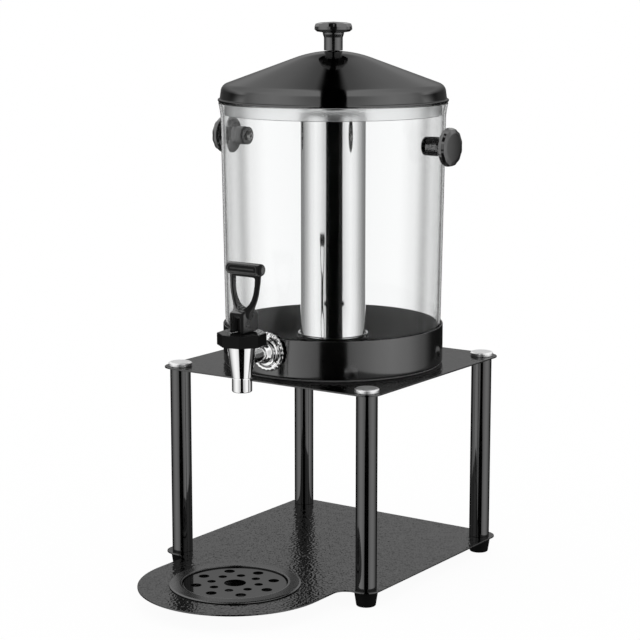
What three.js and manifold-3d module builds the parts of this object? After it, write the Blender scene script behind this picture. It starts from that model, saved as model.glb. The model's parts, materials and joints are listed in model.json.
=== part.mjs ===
// Juice dispenser on a two-plate stand, with a lift tap, an ice tube and a drip tray.
// Millimetres, +Z up. The origin is on the ground under the middle of the object's box, and the tap faces -Y.

import * as THREE from 'three';
import { mergeVertices } from 'three/addons/utils/BufferGeometryUtils.js';
import Module from 'manifold-3d';

const wasm = await Module();
wasm.setup();

// Shared clearances
const seatGap = 0.3;
const overrun = 3;

// Stand
const postSpacingX = 221;
const postSpacingY = 215;
const postDiameter = 20.5;
const postWall = 1.2;
const postLength = 188.2;
const plateThickness = 1.5;
const plateMargin = 15.5;
const lobeRadius = 93;
const lobeFillet = 13;
const footHeight = 15.5;
const footTopDiameter = 24;
const footBottomDiameter = 18.6;
const footEdge = 0.8;
const footBoreDepth = 10;
const rodDiameter = 6;
const capDiameter = 24;
const capHeight = 4.2;
const capEdge = 0.9;
const capSpigotDiameter = 10;
const capSpigotLength = 10;
const capRoof = 1.5;

// Drip tray and grate
const trayLead = 13.5;
const trayRimDiameter = 126.2;
const trayRimHeight = 2.2;
const trayRimSlope = 0.8;
const trayWall = 1;
const trayMouthDiameter = 101;
const trayLedge = 3.6;
const trayLedgeDepth = 2.6;
const trayDepth = 12.6;
const trayCorner = 4;
const grateWall = 1.2;
const grateRise = 0.6;
const grateEdgeRadius = 2.4;
const grateCentreHole = 21;
const grateInnerHole = 8.3;
const grateInnerRing = 23.2;
const grateOuterHole = 10.4;
const grateOuterRing = 37.4;
const grateHoleCount = 8;

// Base ring and tank
const ringClearance = 1.38;
const ringHeight = 39.7;
const ringWall = 1;
const ringCorner = 4;
const ringLip = 13;
const tankFootDiameter = 214;
const tankTopDiameter = 222;
const tankHeight = 258.8;
const tankWall = 3;
const tankFloor = 4;
const tankCorner = 6;
const tankFlare = 2.2;
const tankFlareHeight = 12;
const bossHeight = 24.4;
const bossWall = 3;
const collarHeight = 4;
const collarWall = 2.8;

// Ice tube
const tubeDiameter = 65.2;
const tubeWall = 1;
const tubeDrop = 12.1;
const tubeCorner = 2.5;
const tubeRimRoll = 0.8;

// Lid
const lidRimOverhang = 0.45;
const lidRimHeight = 2.4;
const lidBandInset = 1.5;
const lidBandTaper = 0.9;
const lidCrownRadius = 110;
const lidConeAngle = THREE.MathUtils.degToRad(20.2);
const lidShoulderRadius = 9;
const lidBandHeight = 9.06;
const lidWall = 1;
const sealWall = 2;
const sealSkirt = 12.4;
const sealFlangeHeight = 2;
const sealClearance = 0.8;

// Mushroom knobs on the lid and the sides
const knobHeight = 27.8;
const knobDiameter = 37.2;
const knobNeckDiameter = 18.5;
const knobCollarDiameter = 20.8;
const knobNeckLength = 13.4;
const knobFaceDiameter = 32.6;
const knobDiscHeight = 9.4;
const knobFaceRise = 2.4;
const knobSides = 12;
const knobBoreDepth = 14;
const knobScrewDiameter = 5;
const knobScrewHeadDiameter = 9.6;
const knobScrewHeadHeight = 3.2;
const knobScrewReach = 12;
const sideWasherDiameter = 18;
const lidWasherDiameter = 14;
const washerThickness = 1.4;
const sideKnobDrop = 38.8;

// Tap: the wall parts
const tapStandoff = 43.5;
const tapRise = 25.8;
const shankNeckDiameter = 15.4;
const shankThreadDiameter = 15.6;
const shankBoreDiameter = 9;
const shankShoulderDiameter = 21;
const shankShoulderLength = 2.4;
const shankTail = 6;
const flangeDiameter = 38.6;
const flangeRimThickness = 2.4;
const flangeHubDiameter = 28;
const flangeThickness = 6.4;
const flangeLobes = 16;
const flangeLobeDepth = 0.7;
const gasketDiameter = 34;
const gasketThickness = 1.2;
const innerGasketDiameter = 26;
const nutAcrossFlats = 24;
const nutThickness = 7;

// Tap: the spout
const spoutDrop = 31.8;
const spoutTipDiameter = 19.2;
const spoutTipEdge = 2.2;
const spoutTipLength = 13.8;
const spoutGroove = 0.6;
const spoutConeTopDiameter = 28.6;
const spoutBoreDiameter = 13.6;
const bonnetRise = 13.1;
const bodyCollarDiameter = 33;
const bodyCollarHeight = 6;
const chamberTopDiameter = 23;
const chamberFootDiameter = 17.8;
const chamberConeLength = 12;
const seatDrop = 8.4;
const seatConeLength = 3.6;

// Tap: bonnet, stem, cup and spring
const bonnetAcrossFlats = 43.5;
const bonnetHeight = 11.8;
const bonnetRoof = 3;
const bonnetEdge = 0.9;
const bonnetSides = 8;
const bonnetTurn = THREE.MathUtils.degToRad(8.6);
const stemDiameter = 6;
const stemCollarDiameter = 13;
const stemCollarThickness = 1.5;
const stemTail = 5;
const tongueRadius = 3.4;
const tongueWidth = 5.2;
const cupDiameter = 16;
const cupHeight = 7.6;
const cupLipDiameter = 12.4;
const cupLipHeight = 2.8;
const springMeanDiameter = 10;
const springWire = 1.2;
const springTurns = 6;

// Tap: handle
const pinHeight = 14.3;
const pinDiameter = 3;
const tiltLimit = THREE.MathUtils.degToRad(36);
const camThrow = 4;
const blockWidth = 17;
const blockFront = 12.6;
const blockBack = 14.8;
const blockTop = 5.6;
const blockCorner = 2.2;
const heelRadius = 4;
const slotWidth = 10.4;
const slotTop = 4.4;
const neckRise = 7.4;
const neckDepth = 9.6;
const neckSetback = 2;
const armDepth = 5.8;
const armRise = 17;
const armSetback = 3.8;
const loopBottomWidth = 24.4;
const loopTopWidth = 38.8;
const loopBottomHeight = 13.6;
const barHeight = 45.2;
const barSetback = 6.2;
const barDiameter = 11;
const barLength = 39.6;
const barEdge = 2.6;
const windowTopWidth = 23.2;
const windowBottom = 10;
const windowTop = 39.4;
const windowCorner = 3.4;

// How finely round shapes are faceted
const largeSteps = 36;
const trayRoundSteps = 28;
const tubeSteps = 24;
const tapSteps = 18;
const smallSteps = 16;
const capSteps = 14;
const fineSteps = 10;
const holeSteps = 8;
const shoulderSteps = 3;
const crownSteps = 3;
const profileArc = THREE.MathUtils.degToRad(45);
const planArc = THREE.MathUtils.degToRad(22.5);
const mergeTolerance = 1e-5;

// Heights and reaches that follow from the sizes above
const postX = postSpacingX / 2;
const postY = postSpacingY / 2;
const plateHalfX = postX + plateMargin;
const plateHalfY = postY + plateMargin;
const baseTop = footHeight + plateThickness;
const shelfTop = baseTop + postLength + plateThickness;
const ringTop = shelfTop + ringHeight;
const tankBottom = shelfTop + ringWall + seatGap;
const tankTop = tankBottom + tankHeight;
const floorTop = tankBottom + tankFloor;
const bossTop = tankBottom + bossHeight;
const ringRadius = widestTank(tankBottom, ringTop) + ringClearance + ringWall;
const tapReach = ringRadius + tapStandoff;
const trayReach = tapReach + trayLead;
const tankAxisY = (trayReach + lobeRadius - plateHalfY) / 2;
const tubeBottom = bossTop + seatGap;
const tubeRadius = tubeDiameter / 2;
const collarInner = tubeRadius + seatGap;
const collarOuter = collarInner + collarWall;
const tankMouthRadius = tankTopDiameter / 2 + tankFlare;
const lidBottom = tankTop + seatGap;
const lidRimRadius = tankMouthRadius + lidRimOverhang;
const lidBandRadius = tankMouthRadius - lidBandInset;
const lidShoulderX = lidBandRadius - lidBandTaper - lidShoulderRadius;
const lidShoulderZ = lidBottom + lidBandHeight;
const lidConeFootX = lidShoulderX + lidShoulderRadius * Math.sin(lidConeAngle);
const lidConeFootZ = lidShoulderZ + lidShoulderRadius * Math.cos(lidConeAngle);
const lidConeTopX = lidCrownRadius * Math.sin(lidConeAngle);
const lidConeTopZ = lidConeFootZ + (lidConeFootX - lidConeTopX) * Math.tan(lidConeAngle);
const lidCrownCentre = lidConeTopZ - lidCrownRadius * Math.cos(lidConeAngle);
const lidTop = lidCrownCentre + lidCrownRadius;
const sideKnobHeight = tankTop - sideKnobDrop;
const tapAxisHeight = tankBottom + tapRise;
const spoutTipHeight = tapAxisHeight - spoutDrop;
const seatHeight = tapAxisHeight - seatDrop;
const bonnetBottomHeight = tapAxisHeight + bonnetRise;
const bonnetTopHeight = bonnetBottomHeight + bonnetHeight;
const bonnetCeiling = bonnetTopHeight - bonnetRoof;
const pinZ = bonnetTopHeight + pinHeight;
const camRest = pinHeight - seatGap;

// The tank's outer radius at a height between its foot and the start of its flared rim.
function tankRadiusAt(height) {
  const share = (height - tankBottom) / (tankHeight - tankFlareHeight);
  return THREE.MathUtils.lerp(tankFootDiameter, tankTopDiameter, share) / 2;
}

// The tank's wall is straight between two heights, so its extremes there are at one of them.
function widestTank(low, high) {
  return Math.max(tankRadiusAt(low), tankRadiusAt(high));
}

function narrowestTank(low, high) {
  return Math.min(tankRadiusAt(low), tankRadiusAt(high));
}

// The part's materials, seen by eye
const finishes = {
  hammered: { color: 0x606060, roughness: 0.35, metalness: 0.9 },
  blackSteel: { color: 0x5a5a5a, roughness: 0.2, metalness: 0.9 },
  chrome: { color: 0xe6e6e6, roughness: 0.08, metalness: 1 },
  polished: { color: 0xd8d8d8, roughness: 0.1, metalness: 1 },
  clear: { color: 0xf2f5f6, roughness: 0.05, metalness: 0, transparent: true, opacity: 0.3 },
  frosted: { color: 0xe8ebec, roughness: 0.4, metalness: 0, transparent: true, opacity: 0.7 },
  blackPlastic: { color: 0x0c0c0c, roughness: 0.25, metalness: 0 },
  rubber: { color: 0x080808, roughness: 0.7, metalness: 0 },
  silicone: { color: 0xdcdedc, roughness: 0.5, metalness: 0 },
  zinc: { color: 0x9a9a9a, roughness: 0.35, metalness: 1 },
};

// Solids and meshes

function signedVolume(position, index) {
  const a = new THREE.Vector3();
  const b = new THREE.Vector3();
  const c = new THREE.Vector3();
  let sum = 0;
  for (let i = 0; i < index.length; i += 3) {
    a.fromBufferAttribute(position, index[i]);
    b.fromBufferAttribute(position, index[i + 1]);
    c.fromBufferAttribute(position, index[i + 2]);
    sum += a.dot(b.cross(c));
  }
  return sum;
}

// Merges a geometry's doubled vertices, drops its flat triangles and turns its faces outwards.
function toSolid(geometry) {
  const bare = geometry.clone();
  bare.deleteAttribute('normal');
  bare.deleteAttribute('uv');
  const merged = mergeVertices(bare, mergeTolerance);
  const source = merged.index.array;
  const kept = [];
  for (let i = 0; i < source.length; i += 3) {
    const [a, b, c] = [source[i], source[i + 1], source[i + 2]];
    if (a !== b && b !== c && c !== a) kept.push(a, b, c);
  }
  if (signedVolume(merged.attributes.position, kept) < 0) kept.reverse();
  return new wasm.Manifold(new wasm.Mesh({
    numProp: 3,
    vertProperties: Float32Array.from(merged.attributes.position.array),
    triVerts: Uint32Array.from(kept),
  }));
}

function toGeometry(solid) {
  const mesh = solid.getMesh();
  const geometry = new THREE.BufferGeometry();
  geometry.setAttribute('position', new THREE.BufferAttribute(Float32Array.from(mesh.vertProperties), mesh.numProp));
  geometry.setIndex(new THREE.BufferAttribute(Uint32Array.from(mesh.triVerts), 1));
  geometry.computeVertexNormals();
  return geometry;
}

function join(first, ...others) {
  return toGeometry(others.reduce((sum, other) => sum.add(toSolid(other)), toSolid(first)));
}

function cut(body, ...tools) {
  return toGeometry(tools.reduce((rest, tool) => rest.subtract(toSolid(tool)), toSolid(body)));
}

function common(first, ...others) {
  return toGeometry(others.reduce((part, other) => part.intersect(toSolid(other)), toSolid(first)));
}

// Outlines and the shapes made from them

// Turns corners [x, y, fillet] into a closed outline, with an arc at each corner that has a fillet.
function outline(corners, arcStep = profileArc) {
  const points = [];
  corners.forEach(([x, y, fillet = 0], i) => {
    const here = new THREE.Vector2(x, y);
    const before = corners[(i + corners.length - 1) % corners.length];
    const after = corners[(i + 1) % corners.length];
    const back = new THREE.Vector2(before[0] - x, before[1] - y);
    const ahead = new THREE.Vector2(after[0] - x, after[1] - y);
    const room = Math.min(back.length(), ahead.length()) / 2;
    back.normalize();
    ahead.normalize();
    const half = Math.acos(THREE.MathUtils.clamp(back.dot(ahead), -1, 1)) / 2;
    const reach = Math.min(fillet / Math.tan(half), room);
    if (reach <= 0 || half > Math.PI / 2 - mergeTolerance) {
      points.push([x, y]);
      return;
    }
    const radius = reach * Math.tan(half);
    const centre = back.clone().add(ahead).normalize().multiplyScalar(radius / Math.sin(half)).add(here);
    const start = here.clone().addScaledVector(back, reach).sub(centre);
    const turn = (Math.PI - 2 * half) * Math.sign(ahead.cross(back));
    const steps = Math.max(2, Math.round(Math.abs(turn) / arcStep));
    for (let k = 0; k <= steps; k += 1) {
      const spoke = start.clone().rotateAround(new THREE.Vector2(), (turn * k) / steps).add(centre);
      points.push([spoke.x, spoke.y]);
    }
  });
  return points;
}

// A solid of revolution about Z from [radius, height] points, on the axis at both ends or closed on itself.
function revolve(points, steps) {
  const profile = points.map(([radius, height]) => new THREE.Vector2(Math.max(radius, 0), height));
  if (points[0][0] > 0) profile.push(profile[0].clone());
  return new THREE.LatheGeometry(profile, steps).rotateX(Math.PI / 2);
}

function rod(diameter, length, steps) {
  return new THREE.CylinderGeometry(diameter / 2, diameter / 2, length, steps)
    .rotateX(Math.PI / 2)
    .translate(0, 0, length / 2);
}

function shapeOf(points) {
  return new THREE.Shape(points.map(([x, y]) => new THREE.Vector2(x, y)));
}

function circle(x, y, radius, steps) {
  const points = [];
  for (let k = 0; k < steps; k += 1) {
    const angle = (2 * Math.PI * k) / steps;
    points.push([x + radius * Math.cos(angle), y + radius * Math.sin(angle)]);
  }
  return shapeOf(points);
}

function polygon(sides, acrossFlats) {
  const radius = acrossFlats / 2 / Math.cos(Math.PI / sides);
  const points = [];
  for (let k = 0; k < sides; k += 1) {
    const angle = (2 * Math.PI * (k + 0.5)) / sides;
    points.push([radius * Math.cos(angle), radius * Math.sin(angle)]);
  }
  return points;
}

// Extrudes a shape drawn in plan by its height, along +Z.
function slab(shape, height) {
  return new THREE.ExtrudeGeometry(shape, { depth: height, bevelEnabled: false });
}

// Extrudes a shape drawn from the front, in X and Z, evenly to both sides of Y = 0.
function frontSlab(shape, depth) {
  return slab(shape, depth).translate(0, 0, -depth / 2).rotateX(Math.PI / 2);
}

// Extrudes a shape drawn from the side, in Y and Z, evenly to both sides of X = 0.
function sideSlab(shape, width) {
  return slab(shape, width).translate(0, 0, -width / 2).rotateX(Math.PI / 2).rotateZ(Math.PI / 2);
}

// The scene graph

const product = new THREE.Group();
const tankGroup = new THREE.Group();
const tapGroup = new THREE.Group();
const trayGroup = new THREE.Group();
tankGroup.position.y = tankAxisY;
tapGroup.position.set(0, tankAxisY - tapReach, 0);
trayGroup.position.set(0, tankAxisY - trayReach, baseTop);
product.add(tankGroup, tapGroup, trayGroup);

function add(parent, name, geometry, finish, x = 0, y = 0, z = 0) {
  const mesh = new THREE.Mesh(toGeometry(toSolid(geometry)), new THREE.MeshStandardMaterial(finishes[finish]));
  mesh.name = name;
  mesh.position.set(x, y, z);
  parent.add(mesh);
  return mesh;
}

// Stand

const corners = [
  ['front_left', -1, -1],
  ['front_right', 1, -1],
  ['back_left', -1, 1],
  ['back_right', 1, 1],
];

function postHoles(diameter) {
  return corners.map(([, sideX, sideY]) => circle(sideX * postX, sideY * postY, diameter / 2, fineSteps));
}

function rectangleCorners() {
  return [
    [plateHalfX, -plateHalfY, plateMargin],
    [plateHalfX, plateHalfY, plateMargin],
    [-plateHalfX, plateHalfY, plateMargin],
    [-plateHalfX, -plateHalfY, plateMargin],
  ];
}

// The plate's rectangle with a round lobe in front, which runs into the front edge by concave fillets.
function baseOutline() {
  const lobe = [];
  for (let k = 0; k <= largeSteps / 2; k += 1) {
    const angle = Math.PI + (2 * Math.PI * k) / largeSteps;
    lobe.push([lobeRadius * Math.cos(angle), lobeRadius * Math.sin(angle) - trayReach]);
  }
  const sides = rectangleCorners();
  return outline([
    ...sides.slice(0, 3),
    sides[3],
    [-lobeRadius, -plateHalfY, lobeFillet],
    ...lobe,
    [lobeRadius, -plateHalfY, lobeFillet],
  ], planArc);
}

function basePlate() {
  const plan = shapeOf(baseOutline());
  const panHole = circle(0, -trayReach, trayMouthDiameter / 2 + trayWall + 2 * seatGap, largeSteps);
  plan.holes.push(panHole, ...postHoles(rodDiameter + 2 * seatGap));
  return slab(plan, plateThickness);
}

function upperPlate() {
  const plan = shapeOf(outline(rectangleCorners(), planArc));
  plan.holes.push(...postHoles(capSpigotDiameter + 2 * seatGap));
  return slab(plan, plateThickness);
}

function post() {
  const outer = postDiameter / 2;
  const inner = outer - postWall;
  return revolve([[inner, 0], [outer, 0], [outer, postLength], [inner, postLength]], smallSteps);
}

function foot() {
  const bore = rodDiameter / 2 + seatGap;
  return revolve([
    [0, 0],
    [footBottomDiameter / 2 - footEdge, 0],
    [footBottomDiameter / 2, footEdge],
    [footTopDiameter / 2, footHeight],
    [bore, footHeight],
    [bore, footHeight - footBoreDepth],
    [0, footHeight - footBoreDepth],
  ], capSteps);
}

// Drawn with its underside, where it meets the plate, at zero.
function postCap() {
  const bore = rodDiameter / 2 + seatGap;
  const radius = capDiameter / 2;
  return revolve([
    [0, capHeight],
    [radius - 2 * capEdge, capHeight],
    [radius - capEdge / 2, capHeight - capEdge / 2],
    [radius, capHeight - 2 * capEdge],
    [radius, 0],
    [capSpigotDiameter / 2, 0],
    [capSpigotDiameter / 2, -capSpigotLength],
    [bore, -capSpigotLength],
    [bore, capHeight - capRoof - capEdge],
    [0, capHeight - capRoof - capEdge],
  ], capSteps);
}

function addStand() {
  add(tankGroup, 'base_plate', basePlate(), 'hammered', 0, 0, footHeight);
  add(tankGroup, 'upper_plate', upperPlate(), 'hammered', 0, 0, shelfTop - plateThickness);
  const rodBottom = footHeight - footBoreDepth + seatGap;
  const rodTop = shelfTop - seatGap;
  for (const [corner, sideX, sideY] of corners) {
    const [x, y] = [sideX * postX, sideY * postY];
    add(tankGroup, `post_${corner}`, post(), 'blackSteel', x, y, baseTop);
    add(tankGroup, `foot_${corner}`, foot(), 'rubber', x, y, 0);
    add(tankGroup, `post_cap_${corner}`, postCap(), 'chrome', x, y, shelfTop);
    add(tankGroup, `tie_rod_${corner}`, rod(rodDiameter, rodTop - rodBottom, fineSteps), 'zinc', x, y, rodBottom);
  }
}

// Drip tray and grate, drawn with the plate's top at zero

function dripTray() {
  const rim = trayRimDiameter / 2;
  const mouth = trayMouthDiameter / 2;
  const pan = mouth - trayLedge;
  const crest = trayRimHeight;
  return revolve(outline([
    [0, -trayDepth],
    [pan + trayWall, -trayDepth, trayCorner],
    [pan + trayWall, -trayLedgeDepth - trayWall],
    [mouth + trayWall, -trayLedgeDepth - trayWall],
    [mouth + trayWall, seatGap],
    [rim, seatGap],
    [rim, crest - trayRimSlope - trayWall / 2],
    [rim - trayWall / 2, crest - trayRimSlope],
    [mouth + trayWall / 2, crest],
    [mouth, crest - trayWall / 2],
    [mouth, -trayLedgeDepth],
    [pan, -trayLedgeDepth],
    [pan, trayWall - trayDepth, trayCorner - trayWall],
    [0, trayWall - trayDepth],
  ]), trayRoundSteps);
}

// A flat perforated disc whose edge turns down to stand on the tray's ledge.
function dripGrate() {
  const radius = trayMouthDiameter / 2 - seatGap;
  const disc = revolve(outline([
    [0, grateRise - grateWall],
    [radius - grateWall, grateRise - grateWall, grateEdgeRadius - grateWall],
    [radius - grateWall, seatGap - trayLedgeDepth],
    [radius, seatGap - trayLedgeDepth],
    [radius, grateRise, grateEdgeRadius],
    [0, grateRise],
  ]), trayRoundSteps);
  const punch = (x, y, diameter, steps) => rod(diameter, grateWall + 2 * overrun, steps)
    .translate(x, y, grateRise - grateWall - overrun);
  const punches = [punch(0, 0, grateCentreHole, capSteps)];
  for (let k = 0; k < grateHoleCount; k += 1) {
    const outer = (2 * Math.PI * k) / grateHoleCount;
    const inner = outer + Math.PI / grateHoleCount;
    punches.push(punch(grateOuterRing * Math.cos(outer), grateOuterRing * Math.sin(outer), grateOuterHole, holeSteps));
    punches.push(punch(grateInnerRing * Math.cos(inner), grateInnerRing * Math.sin(inner), grateInnerHole, holeSteps));
  }
  return cut(disc, ...punches);
}

function addDrip() {
  add(trayGroup, 'drip_tray', dripTray(), 'blackSteel');
  add(trayGroup, 'drip_grate', dripGrate(), 'blackSteel');
}

// Base ring, tank and ice tube, drawn about the tank's axis at their real heights

// A cylinder that runs in from the front at the tap's height, to bore the walls that the shank passes.
function shankTool(diameter) {
  return rod(diameter, ringRadius, smallSteps).rotateX(Math.PI / 2).translate(0, -ringRadius / 2, tapAxisHeight);
}

function baseRing() {
  const inner = ringRadius - ringWall;
  const band = revolve(outline([
    [ringRadius - ringLip, shelfTop],
    [ringRadius, shelfTop, ringCorner],
    [ringRadius, ringTop],
    [inner, ringTop],
    [inner, shelfTop + ringWall, ringCorner - ringWall],
    [ringRadius - ringLip, shelfTop + ringWall],
  ]), largeSteps);
  return cut(band, shankTool(shankThreadDiameter + 2 * seatGap));
}

function tank() {
  const footRadius = tankFootDiameter / 2;
  const topRadius = tankTopDiameter / 2;
  const flareStart = tankTop - tankFlareHeight;
  const bossOuter = collarOuter;
  const bossInner = bossOuter - bossWall;
  const vessel = revolve(outline([
    [0, bossTop - bossWall],
    [bossInner, bossTop - bossWall],
    [bossInner, tankBottom],
    [footRadius, tankBottom, tankCorner],
    [topRadius, flareStart],
    [tankMouthRadius, tankTop],
    [tankMouthRadius - tankWall, tankTop],
    [topRadius - tankWall, flareStart],
    [footRadius - tankWall, floorTop, tankCorner],
    [bossOuter, floorTop],
    [bossOuter, bossTop + collarHeight],
    [collarInner, bossTop + collarHeight],
    [collarInner, bossTop],
    [0, bossTop],
  ]), largeSteps);
  const screwHoles = [-1, 1].map((side) => rod(knobScrewDiameter + 2 * seatGap, ringRadius, fineSteps)
    .rotateY((side * Math.PI) / 2)
    .translate(side * ringRadius / 2, 0, sideKnobHeight));
  return cut(vessel, shankTool(shankThreadDiameter + 2 * seatGap), ...screwHoles);
}

function iceTube() {
  const outer = tubeRadius;
  const top = tankTop - tubeDrop;
  return revolve(outline([
    [0, tubeBottom],
    [outer, tubeBottom, tubeCorner],
    [outer, top, tubeRimRoll],
    [outer - tubeWall, top],
    [outer - tubeWall, tubeBottom + tubeWall, tubeCorner - tubeWall],
    [0, tubeBottom + tubeWall],
  ]), tubeSteps);
}

// Lid

// The dome's outer or inner skin, from the band up to the axis: shoulder arc, cone, crown arc.
function lidSkin(offset) {
  const crown = lidCrownRadius - offset;
  const shoulder = lidShoulderRadius - offset;
  const points = [];
  for (let k = 0; k <= shoulderSteps; k += 1) {
    const angle = ((Math.PI / 2 - lidConeAngle) * k) / shoulderSteps;
    points.push([lidShoulderX + shoulder * Math.cos(angle), lidShoulderZ + shoulder * Math.sin(angle)]);
  }
  for (let k = crownSteps; k >= 0; k -= 1) {
    const angle = (lidConeAngle * k) / crownSteps;
    points.push([crown * Math.sin(angle), lidCrownCentre + crown * Math.cos(angle)]);
  }
  return points;
}

function lid() {
  const rim = lidRimRadius;
  const outer = lidSkin(0);
  const inner = lidSkin(lidWall).reverse();
  const dome = revolve([
    ...outer,
    ...inner,
    [lidBandRadius - lidWall, lidBottom + lidRimHeight],
    [lidBandRadius - lidWall, lidBottom],
    [rim - lidRimHeight / 4, lidBottom],
    [rim, lidBottom + lidRimHeight / 4],
    [rim, lidBottom + lidRimHeight * 3 / 4],
    [rim - lidRimHeight / 4, lidBottom + lidRimHeight],
    [lidBandRadius, lidBottom + lidRimHeight],
  ], largeSteps);
  const hole = rod(knobScrewDiameter + 2 * seatGap, lidWall + 2 * overrun, fineSteps)
    .translate(0, 0, lidTop - lidWall - overrun);
  return cut(dome, hole);
}

// An L-section ring: its flange lies on the tank's rim inside the lid's band, and its skirt centres the lid.
function lidSeal() {
  const skirtOuter = tankTopDiameter / 2 - tankWall - sealClearance;
  const flangeOuter = lidBandRadius - lidWall - seatGap;
  return revolve([
    [skirtOuter - sealWall, lidBottom - sealSkirt],
    [skirtOuter, lidBottom - sealSkirt],
    [skirtOuter, lidBottom],
    [flangeOuter, lidBottom],
    [flangeOuter, lidBottom + sealFlangeHeight],
    [skirtOuter - sealWall, lidBottom + sealFlangeHeight],
  ], largeSteps);
}

// Mushroom knobs with their screws and washers, drawn along +Z from their seat at zero

// The disc is a regular polygon seen from its face: every second step is pulled in to the middle of a flat.
function knob() {
  const neck = knobNeckDiameter / 2;
  const collar = knobCollarDiameter / 2;
  const radius = knobDiameter / 2;
  const discBottom = knobHeight - knobDiscHeight;
  const faceEdge = knobHeight - knobFaceRise;
  const bore = knobScrewDiameter / 2 + seatGap;
  const body = revolve([
    [0, knobBoreDepth],
    [bore, knobBoreDepth],
    [bore, 0],
    [neck, 0],
    [neck, knobNeckLength],
    [collar, (knobNeckLength + discBottom) / 2],
    [collar, discBottom],
    [0, discBottom],
  ], smallSteps);
  const middle = (discBottom + faceEdge) / 2;
  const disc = revolve([
    [0, discBottom - seatGap],
    [radius - knobFaceRise, discBottom - seatGap],
    [radius, middle - knobFaceRise / 2],
    [radius, middle + knobFaceRise / 2],
    [knobFaceDiameter / 2, faceEdge],
    [knobFaceDiameter / 4, knobHeight - knobFaceRise / 4],
    [0, knobHeight],
  ], 2 * knobSides);
  const position = disc.attributes.position;
  for (let i = 0; i < position.count; i += 1) {
    const x = position.getX(i);
    const y = position.getY(i);
    const turn = ((Math.atan2(y, x) + 2 * Math.PI) * knobSides) / Math.PI;
    const pull = Math.round(turn) % 2 === 0 ? 1 : Math.cos(Math.PI / knobSides);
    position.setXY(i, x * pull, y * pull);
  }
  return join(body, disc);
}

function knobScrew() {
  const shank = rod(knobScrewDiameter, knobScrewReach + knobScrewHeadHeight, fineSteps);
  const head = revolve([
    [0, 0],
    [knobScrewHeadDiameter / 4, 0],
    [knobScrewHeadDiameter / 2, knobScrewHeadHeight / 2],
    [knobScrewHeadDiameter / 2, knobScrewHeadHeight],
    [0, knobScrewHeadHeight],
  ], fineSteps);
  return join(head, shank);
}

function washer(diameter, bore, thickness) {
  return revolve([
    [bore / 2, 0],
    [diameter / 2, 0],
    [diameter / 2, thickness],
    [bore / 2, thickness],
  ], smallSteps);
}

function addLid() {
  const screwBore = knobScrewDiameter + 2 * seatGap;
  add(tankGroup, 'lid', lid(), 'blackSteel');
  add(tankGroup, 'lid_seal', lidSeal(), 'frosted');
  add(tankGroup, 'lid_knob', knob(), 'blackSteel', 0, 0, lidTop + seatGap);
  const washerZ = lidTop - lidWall - 2 * seatGap - washerThickness;
  add(tankGroup, 'lid_knob_washer', washer(lidWasherDiameter, screwBore, washerThickness), 'rubber', 0, 0, washerZ);
  add(tankGroup, 'lid_knob_screw', knobScrew(), 'zinc', 0, 0, washerZ - knobScrewHeadHeight);
}

function addSideKnobs() {
  const neck = knobNeckDiameter / 2;
  const reach = sideWasherDiameter / 2;
  const seatRadius = widestTank(sideKnobHeight - neck, sideKnobHeight + neck) + seatGap;
  const innerRadius = narrowestTank(sideKnobHeight - reach, sideKnobHeight + reach) - tankWall;
  const sag = innerRadius - Math.sqrt(innerRadius ** 2 - reach ** 2);
  const washerRadius = innerRadius - sag - seatGap - washerThickness;
  const screwBore = knobScrewDiameter + 2 * seatGap;
  for (const [side, sign] of [['left', -1], ['right', 1]]) {
    const turn = (sign * Math.PI) / 2;
    const knobMesh = add(tankGroup, `side_knob_${side}`, knob(), 'blackSteel', sign * seatRadius, 0, sideKnobHeight);
    const disc = washer(sideWasherDiameter, screwBore, washerThickness);
    const washerMesh = add(tankGroup, `side_knob_washer_${side}`, disc, 'rubber', sign * washerRadius, 0, sideKnobHeight);
    const screwRadius = washerRadius - knobScrewHeadHeight;
    const screwMesh = add(tankGroup, `side_knob_screw_${side}`, knobScrew(), 'zinc', sign * screwRadius, 0, sideKnobHeight);
    for (const mesh of [knobMesh, washerMesh, screwMesh]) mesh.rotation.y = turn;
  }
}

// Tap, drawn about its own upright axis at its real heights, with the tank behind it at +Y

const wallReach = tapReach - ringRadius;
const flangeBack = wallReach - gasketThickness - 2 * seatGap;
const flangeFront = flangeBack - flangeThickness;
const gasketReach = innerGasketDiameter / 2;
const gasketFootRadius = narrowestTank(tapAxisHeight - gasketReach, tapAxisHeight + gasketReach) - tankWall;
const innerFlatAtTap = Math.sqrt(gasketFootRadius ** 2 - gasketReach ** 2);
const innerGasketStart = tapReach - innerFlatAtTap + seatGap;
const nutStart = innerGasketStart + gasketThickness + seatGap;
const shankEnd = nutStart + nutThickness + shankTail;

// A solid of revolution about the shank's axis, from [radius, reach] points, with the reach counted towards +Y.
function revolveShank(points, steps) {
  return revolve(points, steps).rotateX(-Math.PI / 2).translate(0, 0, tapAxisHeight);
}

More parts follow.
